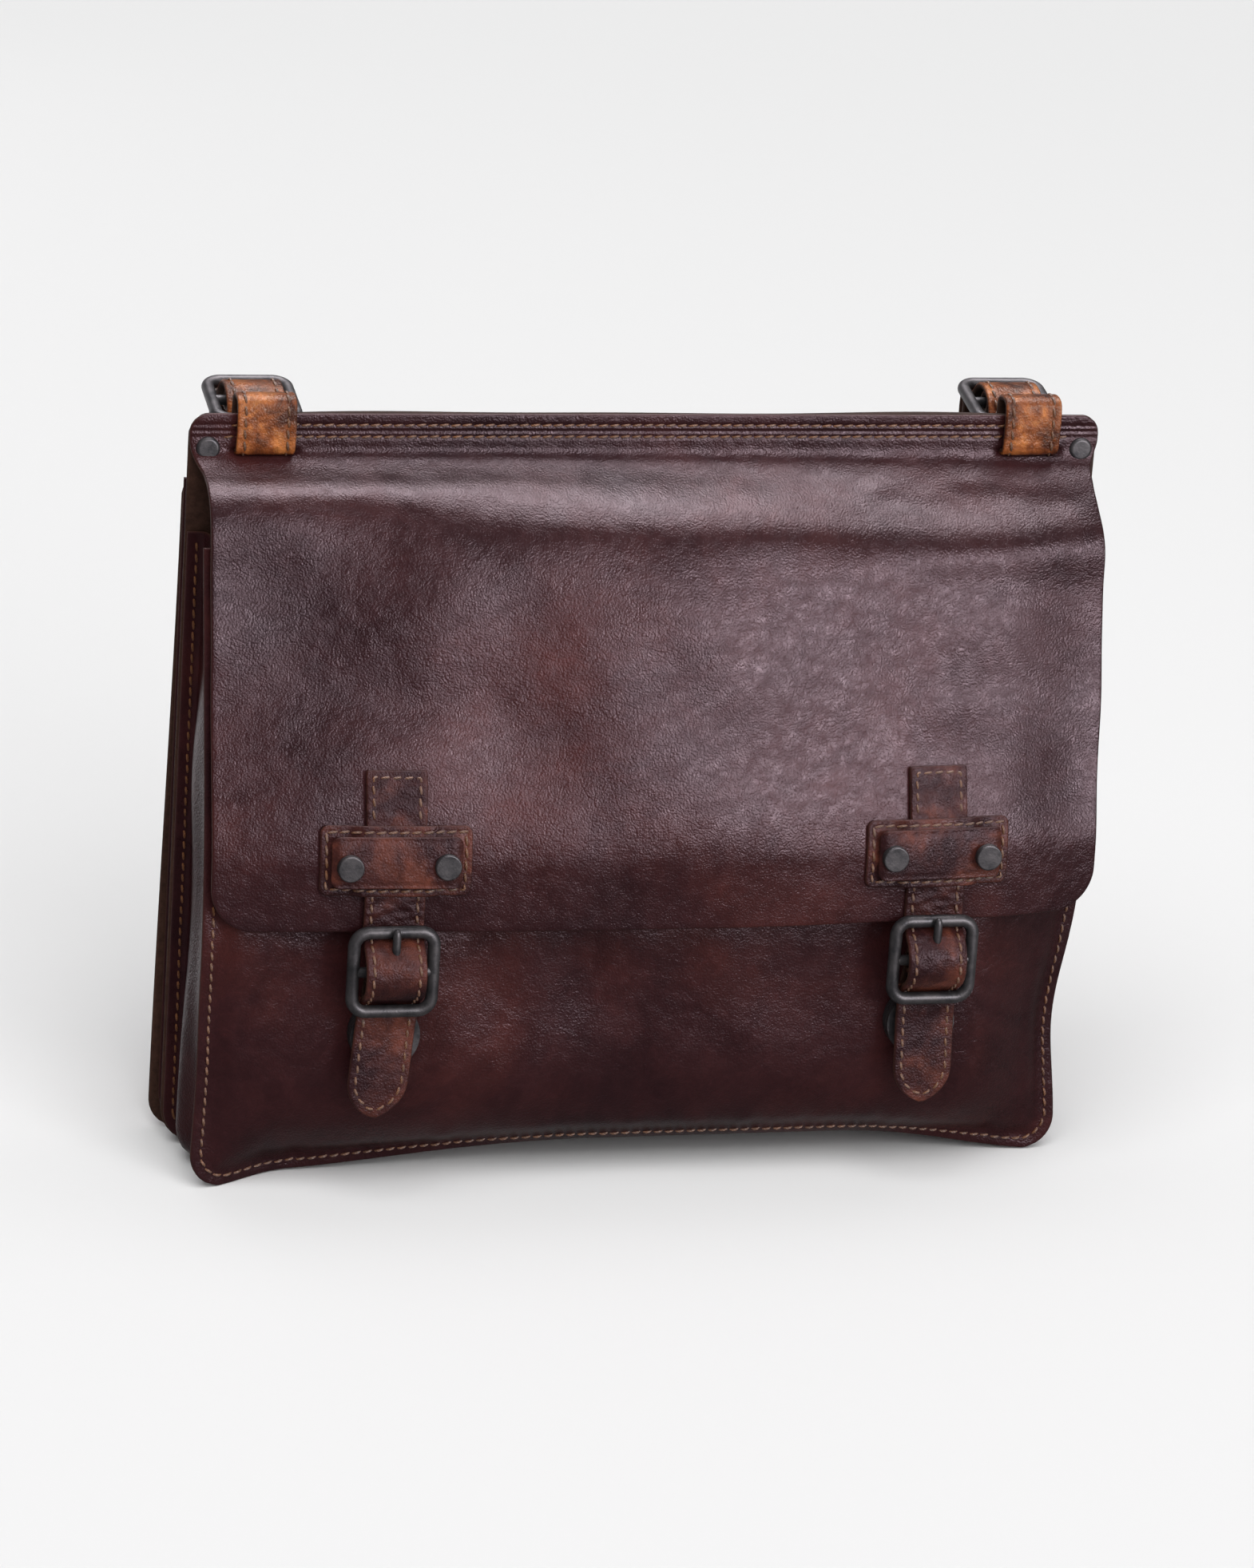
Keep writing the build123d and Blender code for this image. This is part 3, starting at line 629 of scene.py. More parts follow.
def front_place(x, t):
    bottom = front_bottom(x)
    z = FRONT_TOP - t * (1 - bottom / FRONT_TOP)
    to_edge = edge_distance(x, t, front_edges, FRONT_TOP)
    loose = smooth(8, 40, to_edge) * (1 - hump(abs(x), CLOSURE_X, 26) * hump(z, 72, 30))
    relief = 1.2 * waves(x, t, 120, 31) + 0.5 * waves(x, t * 0.6, 45, 33)
    pucker = 0.45 * waves(x, t * 0.35, 15, 35) * hump(to_edge, 12, 7)
    y = front_y(x, z) + FLANGE_SET_BACK * (1 - smooth(6.5, 15, to_edge)) - relief * loose - pucker
    return np.stack([x + 0 * z, y, z], -1)


def front_groove(x, t):
    to_edge = edge_distance(x, t, front_edges, FRONT_TOP)
    return -0.45 * hump(to_edge, SEAM_INSET, 0.9) - 0.7 * hump(to_edge, 7.4, 1.1)


def seam_route(edges, top, bottom, inset, radius):
    """(x, t) points down a sheet's left side, round both bottom corners and up the right side."""
    turn = bottom - radius
    down = np.linspace(top, turn, 24)
    left, right = edges(down)
    arc = np.linspace(0, pi / 2, 6)[1:-1]
    bend = radius - inset
    low_left, low_right = float(left[-1]), float(right[-1])
    points = [(x + inset, t) for x, t in zip(left, down)]
    points += [(low_left + radius - bend * cos(a), turn + bend * sin(a)) for a in arc]
    points += [(low_left + radius, bottom - inset), (low_right - radius, bottom - inset)]
    points += [(low_right - radius + bend * cos(a), turn + bend * sin(a)) for a in arc[::-1]]
    points += [(x - inset, t) for x, t in zip(right[::-1], down[::-1])]
    return points


def on_bag(piece):
    return on_body(piece, "bag")


def make_front_panel():
    piece = sheet("front_leather", front_place, front_edges, 0, FRONT_TOP, (BROWN, FLESH), step=1.9,
                  relief=front_groove)
    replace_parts(on_bag(piece), "front_panel")
    route = seam_route(front_edges, 3, FRONT_TOP, SEAM_INSET, CORNER_R)
    on_bag(stitches("front_seam", front_place, route, BODY_LEATHER / 2 - 0.4, THREAD))


def soft_step(value):
    """value where it is above 0 and 0 below, with a rounded corner between."""
    return (value + np.sqrt(value**2 + 5)) / 2


def u_wall(half, floor, top, front, back, front_shift, bulge):
    """The length of a wall that runs down the left, along the bottom and up the right, its place() and
    its edges(). x runs from the back flange's edge, over the wall, to the front flange's edge."""
    bend = 15.0
    length, line = smooth_path([
        (-half, top), (-half, floor + bend), (-half, floor), (-half + bend, floor),
        (half - bend, floor), (half, floor), (half, floor + bend), (half, top),
    ])

    def wall(t):
        here = line(t)
        ahead = line(t + 0.6) - line(t - 0.6)
        ahead /= np.maximum(np.linalg.norm(ahead, axis=-1, keepdims=True), 1e-9)
        return here[..., 0], here[..., 1], ahead[..., 1], -ahead[..., 0]

    def depth_at(t):
        x, z, _, _ = wall(t)
        return back - front(x, z)

    def edges(t):
        return 0 * t, 2 * FLANGE + depth_at(t)

    def place(x, t):
        wall_x, wall_z, out_x, out_z = wall(t)
        depth = depth_at(t)
        share = np.clip((soft_step(x - FLANGE) - soft_step(x - FLANGE - depth)) / depth, 0, 1)
        out = soft_step(FLANGE - x) + soft_step(x - FLANGE - depth)
        fold = bulge * np.sin(pi * share) ** 2 + 0.5 * bulge * waves(x, t * 0.3, 40, 41) * np.sin(pi * share)
        out = out + fold * smooth(top, top - 120, wall_z)
        px = wall_x + out_x * out
        pz = wall_z + out_z * out
        shift_x, shift_z = front_shift(px, pz)
        y = back * (1 - share) + front(px, pz) * share
        return np.stack([px + shift_x * share, y, pz + shift_z * share**2], -1)

    return length, place, edges


def main_front(x, z):
    return front_y(x, z) + FLANGE_SET_BACK + (BODY_LEATHER + GUSSET) / 2


def main_shift(x, z):
    """How the front seam strays from the back panel's outline."""
    back_half = HALF_WIDTH
    side = np.where(x > 0, front_right_edge(z) - back_half, front_left_edge(z) + back_half)
    return side * smooth(120, 180, abs(x)), front_bottom(x) * smooth(60, 20, z)


def make_gusset(name, node, wall, seams):
    length, place, edges = wall
    piece = sheet(name, place, edges, 0, length, (BROWN, FLESH), thickness=GUSSET, step=2.0,
                  relief=lambda x, t: -0.3 * hump(x, 4.2, 1.0))
    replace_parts(on_bag(piece), node)
    for number, across in enumerate(seams):
        route = [(across, t) for t in np.linspace(4, length - 4, 120)]
        on_bag(stitches(f"{name}_seam_{number + 1}", place, route, GUSSET / 2 - 0.35, THREAD))


def make_gussets():
    inset = FLANGE + GUSSET / 2
    main = u_wall(HALF_WIDTH - inset, inset, FRONT_TOP - 1, main_front, -GUSSET / 2, main_shift, 4.2)
    make_gusset("main_gusset_leather", "main_gusset", main, [4.2])
    pocket_top = span("rear_pocket_gusset", 2)[1]
    near = span("rear_pocket_gusset", 1)[0] + GUSSET / 2
    far = span("rear_pocket_gusset", 1)[1] - GUSSET / 2
    still = lambda x, z: (0.0, 0.0)
    rear = u_wall(HALF_WIDTH - inset - 1, inset + 1, pocket_top, lambda x, z: near + 0 * x, far, still, -1.5)
    make_gusset("rear_gusset_leather", "rear_pocket_gusset", rear, [])


def upright_edges(top, bottom, half, top_radius, bottom_radius):
    def edges(t):
        inset = corner_inset(t, top_radius) + corner_inset(top - bottom - t, bottom_radius)
        return -half + inset, half - inset

    return edges


def top_wave(x):
    """The long, low waves of the bag's top edge."""
    return 0.7 * waves(x, 0 * x, 150, 51)


def make_back_panel():
    edges = upright_edges(BAG_TOP, 0, HALF_WIDTH, 8, CORNER_R)

    def place(x, t):
        y = BODY_LEATHER / 2 + 0.35 * waves(x, t, 130, 53) * smooth(0, 60, t)
        z = BAG_TOP - t + top_wave(x) * smooth(40, 0, t) - 0.6
        return np.stack([x + 0 * z, y, z + 0.6 * smooth(200, 300, t)], -1)

    piece = sheet("back_leather", place, edges, 0, BAG_TOP, (FLESH, BROWN), step=3.0)
    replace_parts(on_bag(piece), "back_panel")


def make_rear_pocket():
    low_y, high_y = span("rear_pocket_panel", 1)
    top = span("rear_pocket_panel", 2)[1]
    middle_y = (low_y + high_y) / 2

    def edges(t):
        inset = corner_inset(t, 8) + corner_inset(top - t, 13) + 1.5 - 3.5 * smooth(0, top, t)
        return -HALF_WIDTH + inset, HALF_WIDTH - inset

    def place(x, t):
        to_edge = edge_distance(x, t, edges, top)
        inner = smooth(7, 30, to_edge)
        y = middle_y + inner * (1.6 + 1.1 * waves(x, t, 110, 61) + 0.3 * waves(x, t, 30, 63))
        y = y + 2.0 * smooth(60, 0, t) * hump(x, 0, 120)
        return np.stack([-x + 0 * t, y, top - t + 0 * x], -1)

    def groove(x, t):
        to_edge = edge_distance(x, t, edges, top)
        return -0.4 * hump(to_edge, SEAM_INSET, 0.9) - 0.3 * hump(t, 4.5, 0.9)

    piece = sheet("rear_pocket_leather", place, edges, 0, top, (BROWN, FLESH), step=2.2, relief=groove)
    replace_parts(on_bag(piece), "rear_pocket_panel")
    outward = BODY_LEATHER / 2 - 0.4
    route = seam_route(edges, 9, top, SEAM_INSET, CORNER_R)
    on_bag(stitches("rear_pocket_seam", place, route, outward, THREAD))
    hem = [(-HALF_WIDTH + 12, 4.5), (HALF_WIDTH - 12, 4.5)]
    on_bag(stitches("rear_pocket_hem", place, hem, outward, THREAD))


def make_inner_pocket():
    left, right = span("inner_pocket", 0)
    low, high = span("inner_pocket", 2)
    depth = -span("inner_pocket", 1)[0]
    edges = upright_edges(high, low, right, 3, 8)
    thin = 1.4

    def place(x, t):
        to_side = np.minimum(np.minimum(x - left, right - x), high - low - t)
        y = -thin / 2 - (depth - thin) * smooth(5, 20, to_side) * (0.8 + 0.2 * waves(x, t, 60, 71))
        return np.stack([x + 0 * t, y, high - t + 0 * x], -1)

    piece = sheet("inner_pocket_leather", place, edges, 0, high - low, (LINING, FLESH),
                  thickness=thin, step=3)
    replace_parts(on_bag(piece), "inner_pocket")
    route = seam_route(edges, 4, high - low, 3.0, 8)
    on_bag(stitches("inner_pocket_seam", place, route, thin / 2 - 0.3, THREAD))


def make_board():
    """The stiffener on the floor of the main compartment. It bends a little with the lifted seam."""
    low, high = span("bottom_board", 2)
    back = span("bottom_board", 1)[1]
    half = span("bottom_board", 0)[1]
    depth = 27.0

    def place(x, t):
        lift = front_bottom(x) * (t / 36) ** 2
        return np.stack([x + 0 * t, back - t + 0 * x, (low + high) / 2 + 0.4 + lift], -1)

    piece = sheet("base_board", place, rounded(half, depth, 5), 0, depth, (BOARD, BOARD),
                  thickness=high - low, step=3.0)
    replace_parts(on_bag(piece), "bottom_board")


# ---------------------------------------------------------------- straps
def strap_shape(path, x0, across=1.0, slant=0.0, sway=0.0):
    """A strap's length and its place() along (y, z) points. across is -1 where its face looks back."""
    length, line = smooth_path(path)

    def place(x, t):
        yz = line(t)
        y = yz[..., 0] + sway * hump(x, 0, 9)
        return np.stack([x0 + across * x + slant * t, y, yz[..., 1] + 0 * x], -1)

    return length, place


def straight_edges(width):
    half = width / 2
    return lambda t: (-half + 0.15 * np.sin(t / 7), half + 0.15 * np.sin(t / 9 + 1))


def tongue_half(t, tip_start, length, half):
    """Half the width of a strap that ends in a pointed arch."""
    share = np.clip((t - tip_start) / (length - tip_start), 0, 1)
    return np.maximum(half * (1 - share**2.3) ** 0.72, 1.3)


def tongue_edges(length, half):
    tip_start = length - 1.3 * half
    return lambda t: (-tongue_half(t, tip_start, length, half), tongue_half(t, tip_start, length, half))


def tongue_route(start, length, half, inset):
    """Down one side of a strap end, round its point and back up."""
    down = np.concatenate([[start], np.linspace(length - 1.3 * half, length - inset * 1.15, 14)])
    x = tongue_half(down, length - 1.3 * half, length - inset * 1.15, half - inset)
    x[-1] = 0
    return list(zip(-x, down)) + list(zip(x[-2::-1], down[-2::-1]))


def wrinkles(bends, seed, seam=None):
    """Fine creases across a strap where it bends, and the dents under the two seams at x = +-seam.
    bends lists (distance along it, half-width, depth)."""
    def relief(x, t):
        creases = waves(x * 0.45, t, 4.5, seed)
        bent = sum(depth * creases * hump(t, at, reach) for at, reach, depth in bends)
        return bent - (0.35 * hump(abs(x), seam, 0.8) if seam else 0)

    return relief


def edge_rows(name, place, start, end, half, material, outward=STRAP_LEATHER / 2 - STRAP_THREAD_SUNK):
    rows = []
    for number, x in enumerate((-half, half)):
        route = [(x, t) for t in np.linspace(start, end, 40)]
        rows.append(stitches(f"{name}_{number + 1}", place, route, outward, material))
    return rows


UNDER = 4.3  # how far a strap passes behind a buckle's outer bars
BULGE = 8.4  # how far it stands out over the centre bar
END_BAR = 13.8  # from a buckle's middle, along its strap, to where the strap goes behind an outer bar
CREST = 6.8  # from a buckle's middle to where the strap's raised part begins and ends


def on_flap(x0, outward):
    """place() for a layer that lies on the flap's outer face around x0. outward may vary with x."""
    def place(x, t):
        lift = outward(x) if callable(outward) else outward
        return surface_at(flap_place, x0 + x, t, BODY_LEATHER / 2 + lift + 0 * (x + t))[0]

    return place


def rounded(half_width, length, radius):
    """edges() of a rectangle with rounded corners, t from 0 to length."""
    def edges(t):
        inset = corner_inset(t, radius) + corner_inset(length - t, radius)
        return -half_width + inset, half_width - inset

    return edges


def shifted(place, t0):
    return lambda x, t: place(x, t + t0)


def ring_route(half_width, length, inset):
    w, low, high = half_width - inset, inset, length - inset
    return [(-w, low), (-w, high), (w, high), (w, low), (-w, low)]




LAYER = 2.0  # thickness of the patch and of the bridge


def edge_groove(half, length, inset):
    """A groove that follows a rectangle's edge, where it is creased or sewn."""
    def relief(x, t):
        to_edge = np.minimum(np.minimum(x + half, half - x), np.minimum(t, length - t))
        return -0.45 * hump(to_edge, inset, 0.7)

    return relief


def make_closure_top(word, side):
    """The strap's end, the patch sewn over it and the bridge held by the two studs."""
    x0 = side * CLOSURE_X
    strap_top = span(f"{word}_closure_strap", 2)[1]
    t_top, t_low = flap_row_at(strap_top), flap_row_at(span("left_closure_strap", 2)[0])
    place = shifted(on_flap(x0, STRAP_LEATHER / 2), t_top)
    length = t_low - t_top
    strap = sheet(f"{word}_strap_end", place, rounded(STRAP_HALF, length + 3, 1.5), 0, length,
                  (STRAP_BROWN, FLESH), thickness=STRAP_LEATHER, step=1.0,
                  relief=wrinkles([(14, 12, 0.12)], 5))
    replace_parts(on_body(strap, "flap"), f"{word}_closure_strap")
    inset = 3.0
    route = [(-STRAP_HALF + inset, 20), (-STRAP_HALF + inset, inset), (STRAP_HALF - inset, inset),
             (STRAP_HALF - inset, 20)]
    seam = stitches(f"{word}_strap_end_seam", place, route, STRAP_LEATHER / 2 - STRAP_THREAD_SUNK, THREAD)
    on_body(seam, "flap")

    def patch_lift(x):
        return LAYER / 2 + STRAP_LEATHER * (1 - smooth(12.5, 20, abs(x)))

    def bridge_lift(x):
        return 1.5 * LAYER + STRAP_LEATHER * (1 - 0.8 * smooth(24, 27, abs(x)))

    for layer, lift, sewn in (("patch", patch_lift, True), ("bridge", bridge_lift, False)):
        left, right = span(f"{word}_closure_{layer}", 0)
        low, high = span(f"{word}_closure_{layer}", 2)
        half, tall = (right - left) / 2, high - low
        place = shifted(on_flap(x0, lift), flap_row_at(high))
        piece = sheet(f"{word}_{layer}", place, rounded(half, tall, 3.5), 0, tall, (STRAP_BROWN, FLESH),
                      thickness=LAYER, step=1.0, relief=edge_groove(half, tall, 2.6 if sewn else 1.6))
        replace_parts(on_body(piece, "flap"), f"{word}_closure_{layer}")
        if sewn:
            route = ring_route(half, tall, 2.6)
            on_body(stitches(f"{word}_patch_seam", place, route, LAYER / 2 - 0.3, THREAD), "flap")


def make_closure_strap(word, side):
    """The strap from under the patch, through the buckle, and its hanging tongue."""
    x0 = side * CLOSURE_X
    patch_low = span(f"{word}_closure_patch", 2)[0]
    strap_y = FLAP_OUTER_Y - STRAP_LEATHER / 2
    tail_y = CLOSURE_Y + UNDER
    up, down = CLOSURE_Z + END_BAR, CLOSURE_Z - END_BAR
    path = [(strap_y, patch_low + 4), (strap_y - 0.3, patch_low - 4), (tail_y, up + 5), (tail_y, up),
            (CLOSURE_Y - BULGE, CLOSURE_Z + CREST), (CLOSURE_Y - BULGE, CLOSURE_Z - CREST),
            (tail_y, down), (tail_y, down - 6)]
    length, place = strap_shape(path, x0)
    creases = wrinkles([(9, 8, 0.32), (34, 9, 0.16)], 9, STRAP_HALF - 3.0)
    run = sheet(f"{word}_strap_run", place, straight_edges(2 * STRAP_HALF), 0, length, (STRAP_BROWN, FLESH),
                thickness=STRAP_LEATHER, step=0.9, relief=creases)
    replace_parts(run, f"{word}_closure_run")
    rows = edge_rows(f"{word}_strap_run_seam", place, 2, length - 2, STRAP_HALF - 3.0, THREAD)
    hinge = [row_point(0, strap_y, patch_low + 1), row_point(0, strap_y, patch_low - 5)]
    bend_across((run, *rows), "body_leather", "flap", f"{word}_closure", *hinge)

    tip = span(f"{word}_closure_tongue", 2)[0]
    slant = -0.085 if side < 0 else 0.015
    path = [(tail_y, down + 2), (tail_y, down - 8), (tail_y + 0.5, 75), (tail_y - 1.0, 58),
            (tail_y - 1.5, tip)]
    length, place = strap_shape(path, x0, slant=slant)
    tongue = sheet(f"{word}_tongue", place, tongue_edges(length, STRAP_HALF), 0, length, (STRAP_BROWN, FLESH),
                   thickness=STRAP_LEATHER, step=0.9, relief=wrinkles([(14, 30, 0.07)], 12))
    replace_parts(tongue, f"{word}_closure_tongue")
    seam = stitches(f"{word}_tongue_seam", place, tongue_route(4, length, STRAP_HALF, 3.0),
                    STRAP_LEATHER / 2 - STRAP_THREAD_SUNK, THREAD)
    hinge = [row_point(0, tail_y, down - 5), row_point(0, tail_y, down - 14)]
    bend_across((tongue, seam), "body_leather", f"{word}_closure", f"{word}_closure_tongue", *hinge)


def front_point(along, out):
    """(y, z) of a point in the front buckle's own frame: up along the strap, and out of the flap."""
    return CLOSURE_Y - out, CLOSURE_Z + along


FOLD_OUT = 3.7  # from the centre bar's axis to the middle of the leather folded round it


def fold_round_bar(tail_along, tail_out):
    """(along, out) points of a tab folded round a buckle's centre bar, from its tail to its end."""
    return [(tail_along, tail_out), (-11, tail_out), (-5, -FOLD_OUT), (2.6, -FOLD_OUT), (4.6, 0),
            (2.6, FOLD_OUT), (-2.6, FOLD_OUT), (-4.6, 0.6), (-4.2, -1.6)]


def make_closure_chape(word, side):
    tail_along = MAGNET_Z - 9 - CLOSURE_Z
    points = [front_point(along, out) for along, out in fold_round_bar(tail_along, -6.9)]
    length, place = strap_shape(points[::-1], side * CLOSURE_X)
    half = 11.0
    piece = sheet(f"{word}_chape_leather", place, straight_edges(2 * half), 0, length, (FLESH, STRAP_BROWN),
                  thickness=2.0, step=1.4)
    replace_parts(on_body(piece, f"{word}_closure"), f"{word}_closure_chape")


def tube(name, points, radii, material):
    """A round bar through points, with a radius at each one, closed at both ends."""
    sides = 14
    length, line = smooth_path(np.column_stack([points, radii]), rounds=3)
    at = np.linspace(0, length, 60)
    rings = line(at)
    centre, radius = rings[:, :3], rings[:, 3]
    ahead = np.gradient(centre, axis=0)
    ahead /= np.linalg.norm(ahead, axis=-1, keepdims=True)
    across = np.array([1.0, 0, 0]) * np.ones_like(ahead)
    up = np.cross(ahead, across)
    turn = np.arange(sides) * 2 * pi / sides
    ring = np.cos(turn)[:, None] * across[:, None, :] + np.sin(turn)[:, None] * up[:, None, :]
    skin = (centre[:, None, :] + radius[:, None, None] * ring).reshape(-1, 3)
    number = np.arange(60 * sides).reshape(60, sides)
    around = np.roll(number, -1, axis=1)
    quads = np.stack([number[:-1], around[:-1], around[1:], number[1:]], -1).reshape(-1, 4)
    half = sides // 2
    for end in (number[0], number[-1][::-1]):
        quads = np.vstack([quads] + [[end[k], end[-1 - k], end[-2 - k], end[k + 1]] for k in range(half - 1)])
    return make_mesh(name, skin, quads, material)


def make_prong(name, node, body, place_of, x0):
    """The prong: an eye round the centre bar and a round bar that rests across the top bar."""
    eye = [(3.3 * cos(a), 3.3 * sin(a)) for a in np.linspace(radians(-250), radians(60), 12)]
    path = eye + [(5.5, 3.9), (10, 4.25), (16, 4.4), (18.6, 4.1), (19.4, 3.7)]
    radii = [1.0] * 12 + [1.5, 1.75, 1.75, 1.6, 0.5]
    points = [(x0, *place_of(along, out)) for along, out in path]
    piece = tube(name, points, radii, METAL)
    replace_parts(on_body(piece, body), node)


# ---------------------------------------------------------------- top loops and rear buckles
REAR_Y = middle_of("left_rear_buckle", 1)
REAR_Z = middle_of("left_rear_buckle", 2)
REAR_TILT = radians(13.0)
REAR_BULGE = 6.3
LOOP_TOP = span("left_top_loop", 2)[1] - STRAP_LEATHER / 2
SLOT_Z = 300.0
BILLET_REACH = 20.4  # how far past the rear buckle's centre its billet turns down


def rear_point(along, out):
    """(y, z) of a point in the rear buckle's own frame: along its length towards the bag, and out of it."""
    y = REAR_Y - along * cos(REAR_TILT) - out * sin(REAR_TILT)
    return y, REAR_Z - along * sin(REAR_TILT) + out * cos(REAR_TILT)


def make_loop(word, side):
    """The billet: out of the slot, over the top edge, down behind it and through the rear buckle."""
    front, behind = -5.6, 5.8
    path = [(3.9, 287), (3.9, 297), (3.2, SLOT_Z), (front + 1, SLOT_Z), (front, SLOT_Z + 3), (front, 317),
            (front + 1.2, LOOP_TOP), (behind - 1.2, LOOP_TOP), (behind, 318), (behind, 307),
            (behind + 1, 303.6)]
    path += [rear_point(END_BAR, -UNDER), rear_point(CREST, REAR_BULGE), rear_point(-CREST, REAR_BULGE),
             rear_point(-END_BAR, -UNDER), rear_point(-BILLET_REACH, -UNDER)]
    length, place = strap_shape(path, side * LOOP_X, across=-1)
    half = STRAP_HALF - 0.3
    piece = sheet(f"{word}_loop_leather", place, straight_edges(2 * half), 0, length, (TAN, FLESH),
                  thickness=STRAP_LEATHER, step=0.9,
                  relief=wrinkles([(25, 14, 0.1), (85, 12, 0.16)], 15, half - 3.4))
    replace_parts(piece, f"{word}_top_loop", f"{word}_rear_billet")
    rows = edge_rows(f"{word}_loop_seam", place, 16, length - 3, half - 3.4, THREAD)
    hinge = [row_point(0, behind, LOOP_TOP - 1), row_point(0, behind, 312)]
    bend_across((piece, *rows), "tan_leather", "bag", f"{word}_rear_buckle", *hinge)


def make_rear_chape(word, side):
    points = [rear_point(along, out) for along, out in fold_round_bar(-18.5, -7.4)]
    length, place = strap_shape(points, side * LOOP_X, across=-1)
    piece = sheet(f"{word}_rear_chape_leather", place, straight_edges(22.0), 0, length, (TAN, FLESH),
                  thickness=2.2, step=1.4)
    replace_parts(on_body(piece, f"{word}_rear_buckle"), f"{word}_rear_chape")


# ---------------------------------------------------------------- shoulder strap
STRAP_AXIS_Y, STRAP_AXIS_Z = rear_point(-22.9, -7.1)
HANG_Y = span("shoulder_strap", 1)[0] + STRAP_HALF
STRAP_THICK = 3.4


def make_shoulder_strap():
    """One strap from buckle to buckle. It hangs, turns edge-on, and lies across the ground behind."""
    bend, floor = 42.0, 2.0
    side_points = [(STRAP_AXIS_Y - 3.5, STRAP_AXIS_Z), (STRAP_AXIS_Y - 0.3, STRAP_AXIS_Z),
                   (STRAP_AXIS_Y, STRAP_AXIS_Z - 4), (STRAP_AXIS_Y, 260), (HANG_Y, 150),
                   (HANG_Y, floor + 2 * bend)]
    left = [(-LOOP_X, y, z) for y, z in side_points]
    floor_run = [(-LOOP_X, HANG_Y, floor + bend), (-LOOP_X + 18, HANG_Y, floor + 10),
                 (-LOOP_X + 55, HANG_Y, floor), (-60, HANG_Y, floor)]
    half_path = left + floor_run
    path = half_path + [(-x, y, z) for x, y, z in half_path[::-1]]
    length, line = smooth_path(path)

    def place(x, t):
        here = line(t)
        ahead = line(t + 1.0) - line(t - 1.0)
        ahead /= np.maximum(np.linalg.norm(ahead, axis=-1, keepdims=True), 1e-9)
        turn = smooth(50, 165, t) + smooth(length - 165, length - 50, t)
        angle = pi + pi / 2 * turn
        width = np.stack([np.cos(angle), np.sin(angle), 0 * angle], -1)
        width = width - ahead * (width * ahead).sum(-1, keepdims=True)
        width /= np.maximum(np.linalg.norm(width, axis=-1, keepdims=True), 1e-9)
        return here + width * x[..., None]

    half = STRAP_HALF - 0.2
    piece = sheet("shoulder_strap_leather", place, straight_edges(2 * half), 0, length, (TAN, FLESH),
                  thickness=STRAP_THICK, step=1.4,
                  relief=wrinkles([(length / 2, length, 0.05)], 81, half - 3.2))
    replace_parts(on_body(piece, "shoulder_strap"), "shoulder_strap")
    rows = edge_rows("shoulder_strap_seam", place, 6, length - 6, half - 3.2, THREAD,
                     STRAP_THICK / 2 - STRAP_THREAD_SUNK)
    for row in rows:
        on_body(row, "shoulder_strap")


def make_billet_tongue(word, side):
    tip = span(f"{word}_billet_tongue", 2)[0]
    y = middle_of(f"{word}_billet_tongue", 1)
    top_y, top_z = rear_point(-BILLET_REACH, -UNDER)
    path = [(top_y, top_z + 0.2), (y - 3.5, top_z + 0.8), (y, top_z - 3.5), (y, 295), (y + 0.6, tip)]
    length, place = strap_shape(path, side * LOOP_X, across=-1)
    piece = sheet(f"{word}_billet_end", place, tongue_edges(length, STRAP_HALF), 0, length, (TAN, FLESH),
                  thickness=STRAP_LEATHER, step=1.0, relief=wrinkles([(10, 8, 0.15)], 17))
    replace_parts(piece, f"{word}_billet_tongue")
    route = tongue_route(9, length, STRAP_HALF, 3.2)
    seam = stitches(f"{word}_billet_end_seam", place, route, STRAP_LEATHER / 2 - STRAP_THREAD_SUNK, THREAD)
    hinge = [row_point(0, top_y, top_z), row_point(0, y, top_z - 9)]
    bend_across((piece, seam), "tan_leather", "left_rear_buckle", "shoulder_strap", *hinge)


make_flap()
make_front_panel()
make_gussets()
make_back_panel()
make_rear_pocket()
make_inner_pocket()
make_board()
for word, side in SIDES.items():
    make_closure_top(word, side)
    make_closure_strap(word, side)
    make_closure_chape(word, side)
    make_loop(word, side)
    make_rear_chape(word, side)
    make_billet_tongue(word, side)
    make_prong(f"{word}_front_prong", f"{word}_closure_prong", f"{word}_closure_prong", front_point,
               side * CLOSURE_X)
    make_prong(f"{word}_back_prong", f"{word}_rear_prong", f"{word}_rear_prong", rear_point, side * LOOP_X)
make_shoulder_strap()


# ---------------------------------------------------------------- metal kept from the frame
for node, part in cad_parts.items():
    if any(word in node for word in ("buckle", "prong", "rivets", "studs", "magnet")):
        part.data.materials.clear()
        part.data.materials.append(METAL)


# ---------------------------------------------------------------- studio
def softbox(name, place, size, power):
    """A rectangular light that is only seen as sheen on the leather and the metal."""
    light = bpy.data.lights.new(name, "AREA")
    light.shape = "RECTANGLE"
    light.size, light.size_y = size
    light.energy = power
    light.color = (1, 0.97, 1)
    lamp = bpy.data.objects.new(name, light)
    lamp.location = place
    lamp.rotation_euler = (Vector((0, -0.03, 0.2)) - Vector(place)).to_track_quat("-Z", "Y").to_euler()
    lamp.visible_diffuse = False
    lamp.visible_camera = False
    bpy.context.scene.collection.objects.link(lamp)


def make_floor():
    material, nodes, links, shader = new_material("floor")
    shader.inputs["Base Color"].default_value = (0.79, 0.79, 0.79, 1)
    shader.inputs["Roughness"].default_value = 0.9
    mesh = bpy.data.meshes.new("floor")
    reach = 40.0
    corners = [(-reach, -reach, 0), (reach, -reach, 0), (reach, reach, 0), (-reach, reach, 0)]
    mesh.from_pydata(corners, [], [(0, 1, 2, 3)])
    mesh.materials.append(material)
    floor = bpy.data.objects.new("floor", mesh)
    bpy.context.scene.collection.objects.link(floor)
    floor.visible_glossy = False


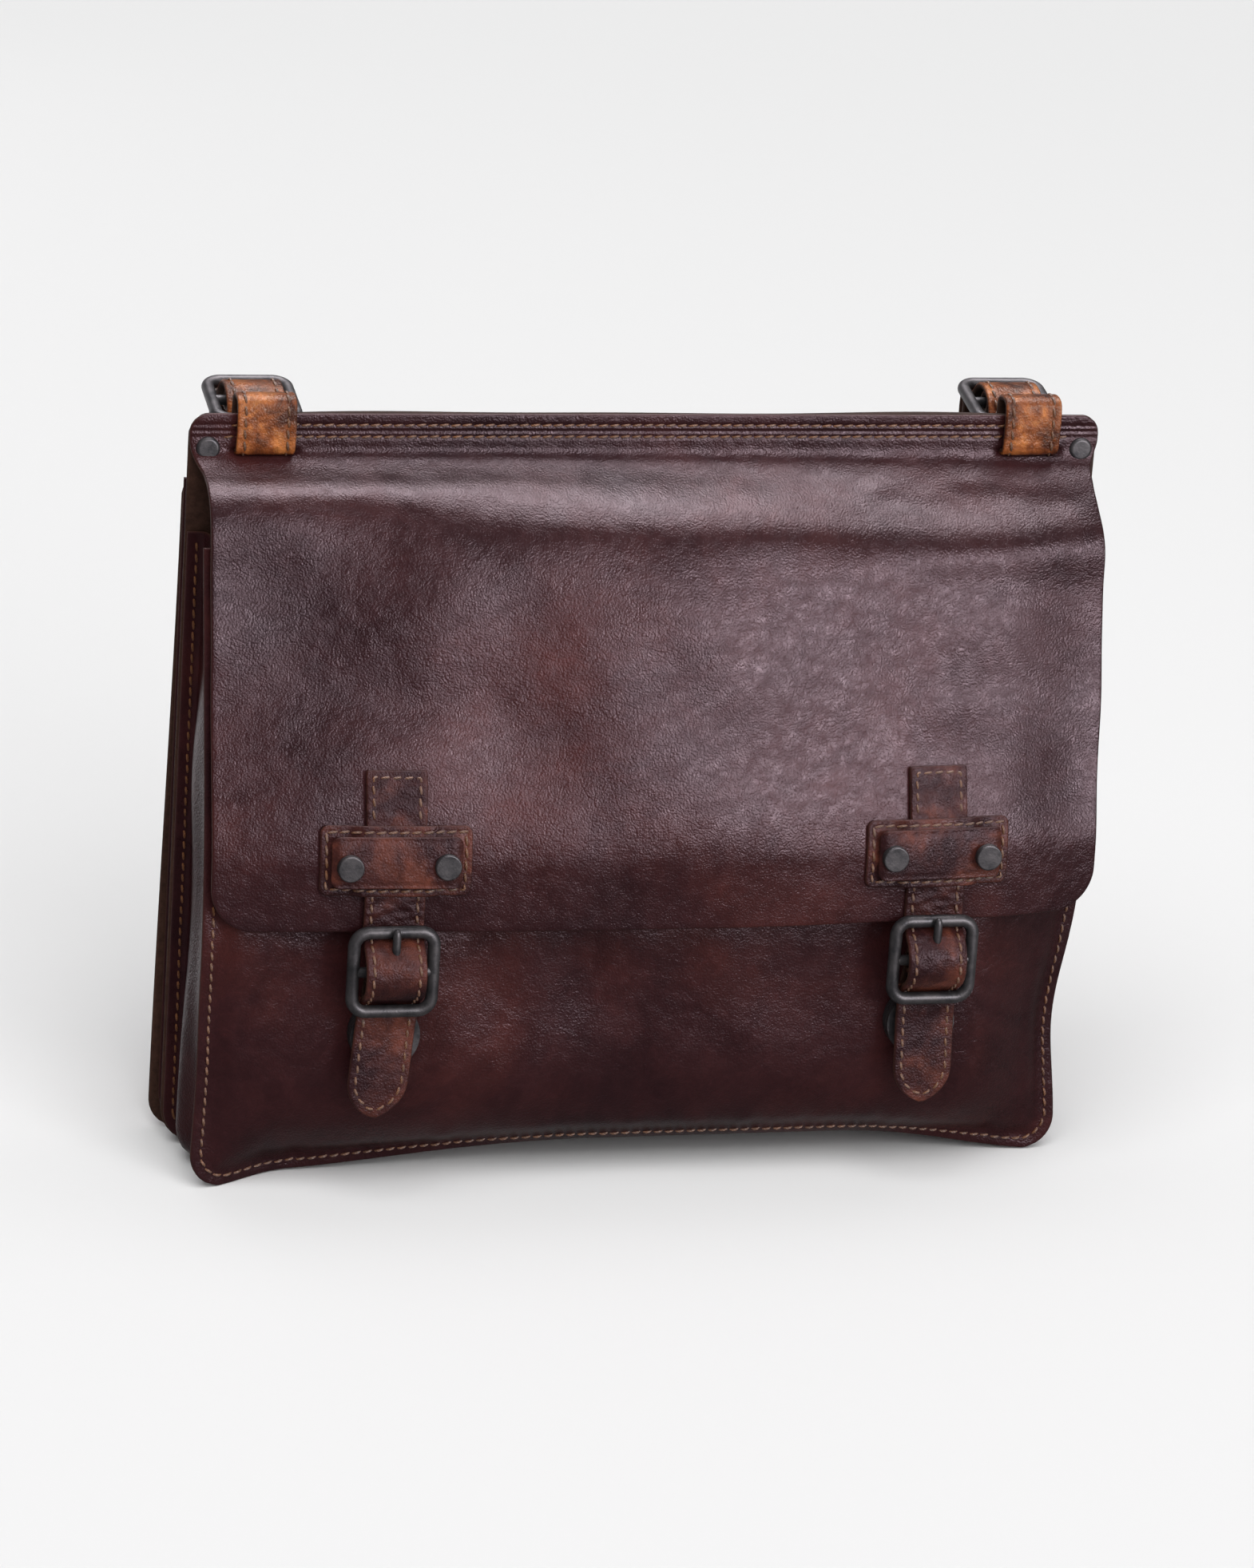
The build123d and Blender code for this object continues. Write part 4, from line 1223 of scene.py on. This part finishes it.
def soft_sun(name, direction, strength, width):
    """An even light from far off, as wide as a disc of that many degrees. It gives no sheen."""
    light = bpy.data.lights.new(name, "SUN")
    light.energy = strength
    light.angle = radians(width)
    lamp = bpy.data.objects.new(name, light)
    lamp.rotation_euler = Vector(direction).to_track_quat("-Z", "Y").to_euler()
    lamp.visible_glossy = False
    bpy.context.scene.collection.objects.link(lamp)


def make_studio():
    """Soft light from above and from the front, three softboxes seen only as sheen, and a dim room."""
    world = bpy.data.worlds.new("studio")
    world.use_nodes = True
    background = world.node_tree.nodes["Background"]
    background.inputs["Color"].default_value = (1, 1, 1, 1)
    background.inputs["Strength"].default_value = 0.25
    bpy.context.scene.world = world
    soft_sun("sky_light", (0.15, 0.5, -0.85), 2.45, 50)
    soft_sun("front_light", (-0.2, 0.88, -0.42), 1.1, 40)
    softbox("front_sheen", (1.2, -2.3, 0.86), (0.9, 0.6), 185)
    softbox("top_sheen", (0.2, 0.5, 2.6), (2.4, 1.1), 280)
    softbox("side_sheen", (-0.75, 2.3, 0.1), (1.4, 1.6), 11)
    bpy.context.scene.view_settings.view_transform = "Standard"


def make_camera():
    """Looks from the left and above, rolled a little, at the distance and lens of the view."""
    azimuth, elevation, roll = radians(15.11), radians(17.82), radians(-3.88)
    distance, focal_px, image_height = 2320.0, 7033.0, 1963.0
    aim = np.array([-8.7, -30.0, 165.5])
    back = np.array([-sin(azimuth) * cos(elevation), -cos(azimuth) * cos(elevation), sin(elevation)])
    right = np.cross(-back, [0, 0, 1])
    right /= np.linalg.norm(right)
    up = np.cross(right, -back)
    rolled_right = cos(roll) * right - sin(roll) * up
    rolled_up = sin(roll) * right + cos(roll) * up
    camera = bpy.data.cameras.new("camera")
    camera.sensor_width = 36.0
    camera.lens = focal_px / image_height * camera.sensor_width
    camera.clip_end = 100
    holder = bpy.data.objects.new("camera", camera)
    turn = Matrix((rolled_right, rolled_up, back)).transposed().to_4x4()
    holder.matrix_world = Matrix.Translation(Vector(to_row(aim + back * distance))) @ turn
    bpy.context.scene.collection.objects.link(holder)
    bpy.context.scene.camera = holder


make_floor()
make_studio()
make_camera()
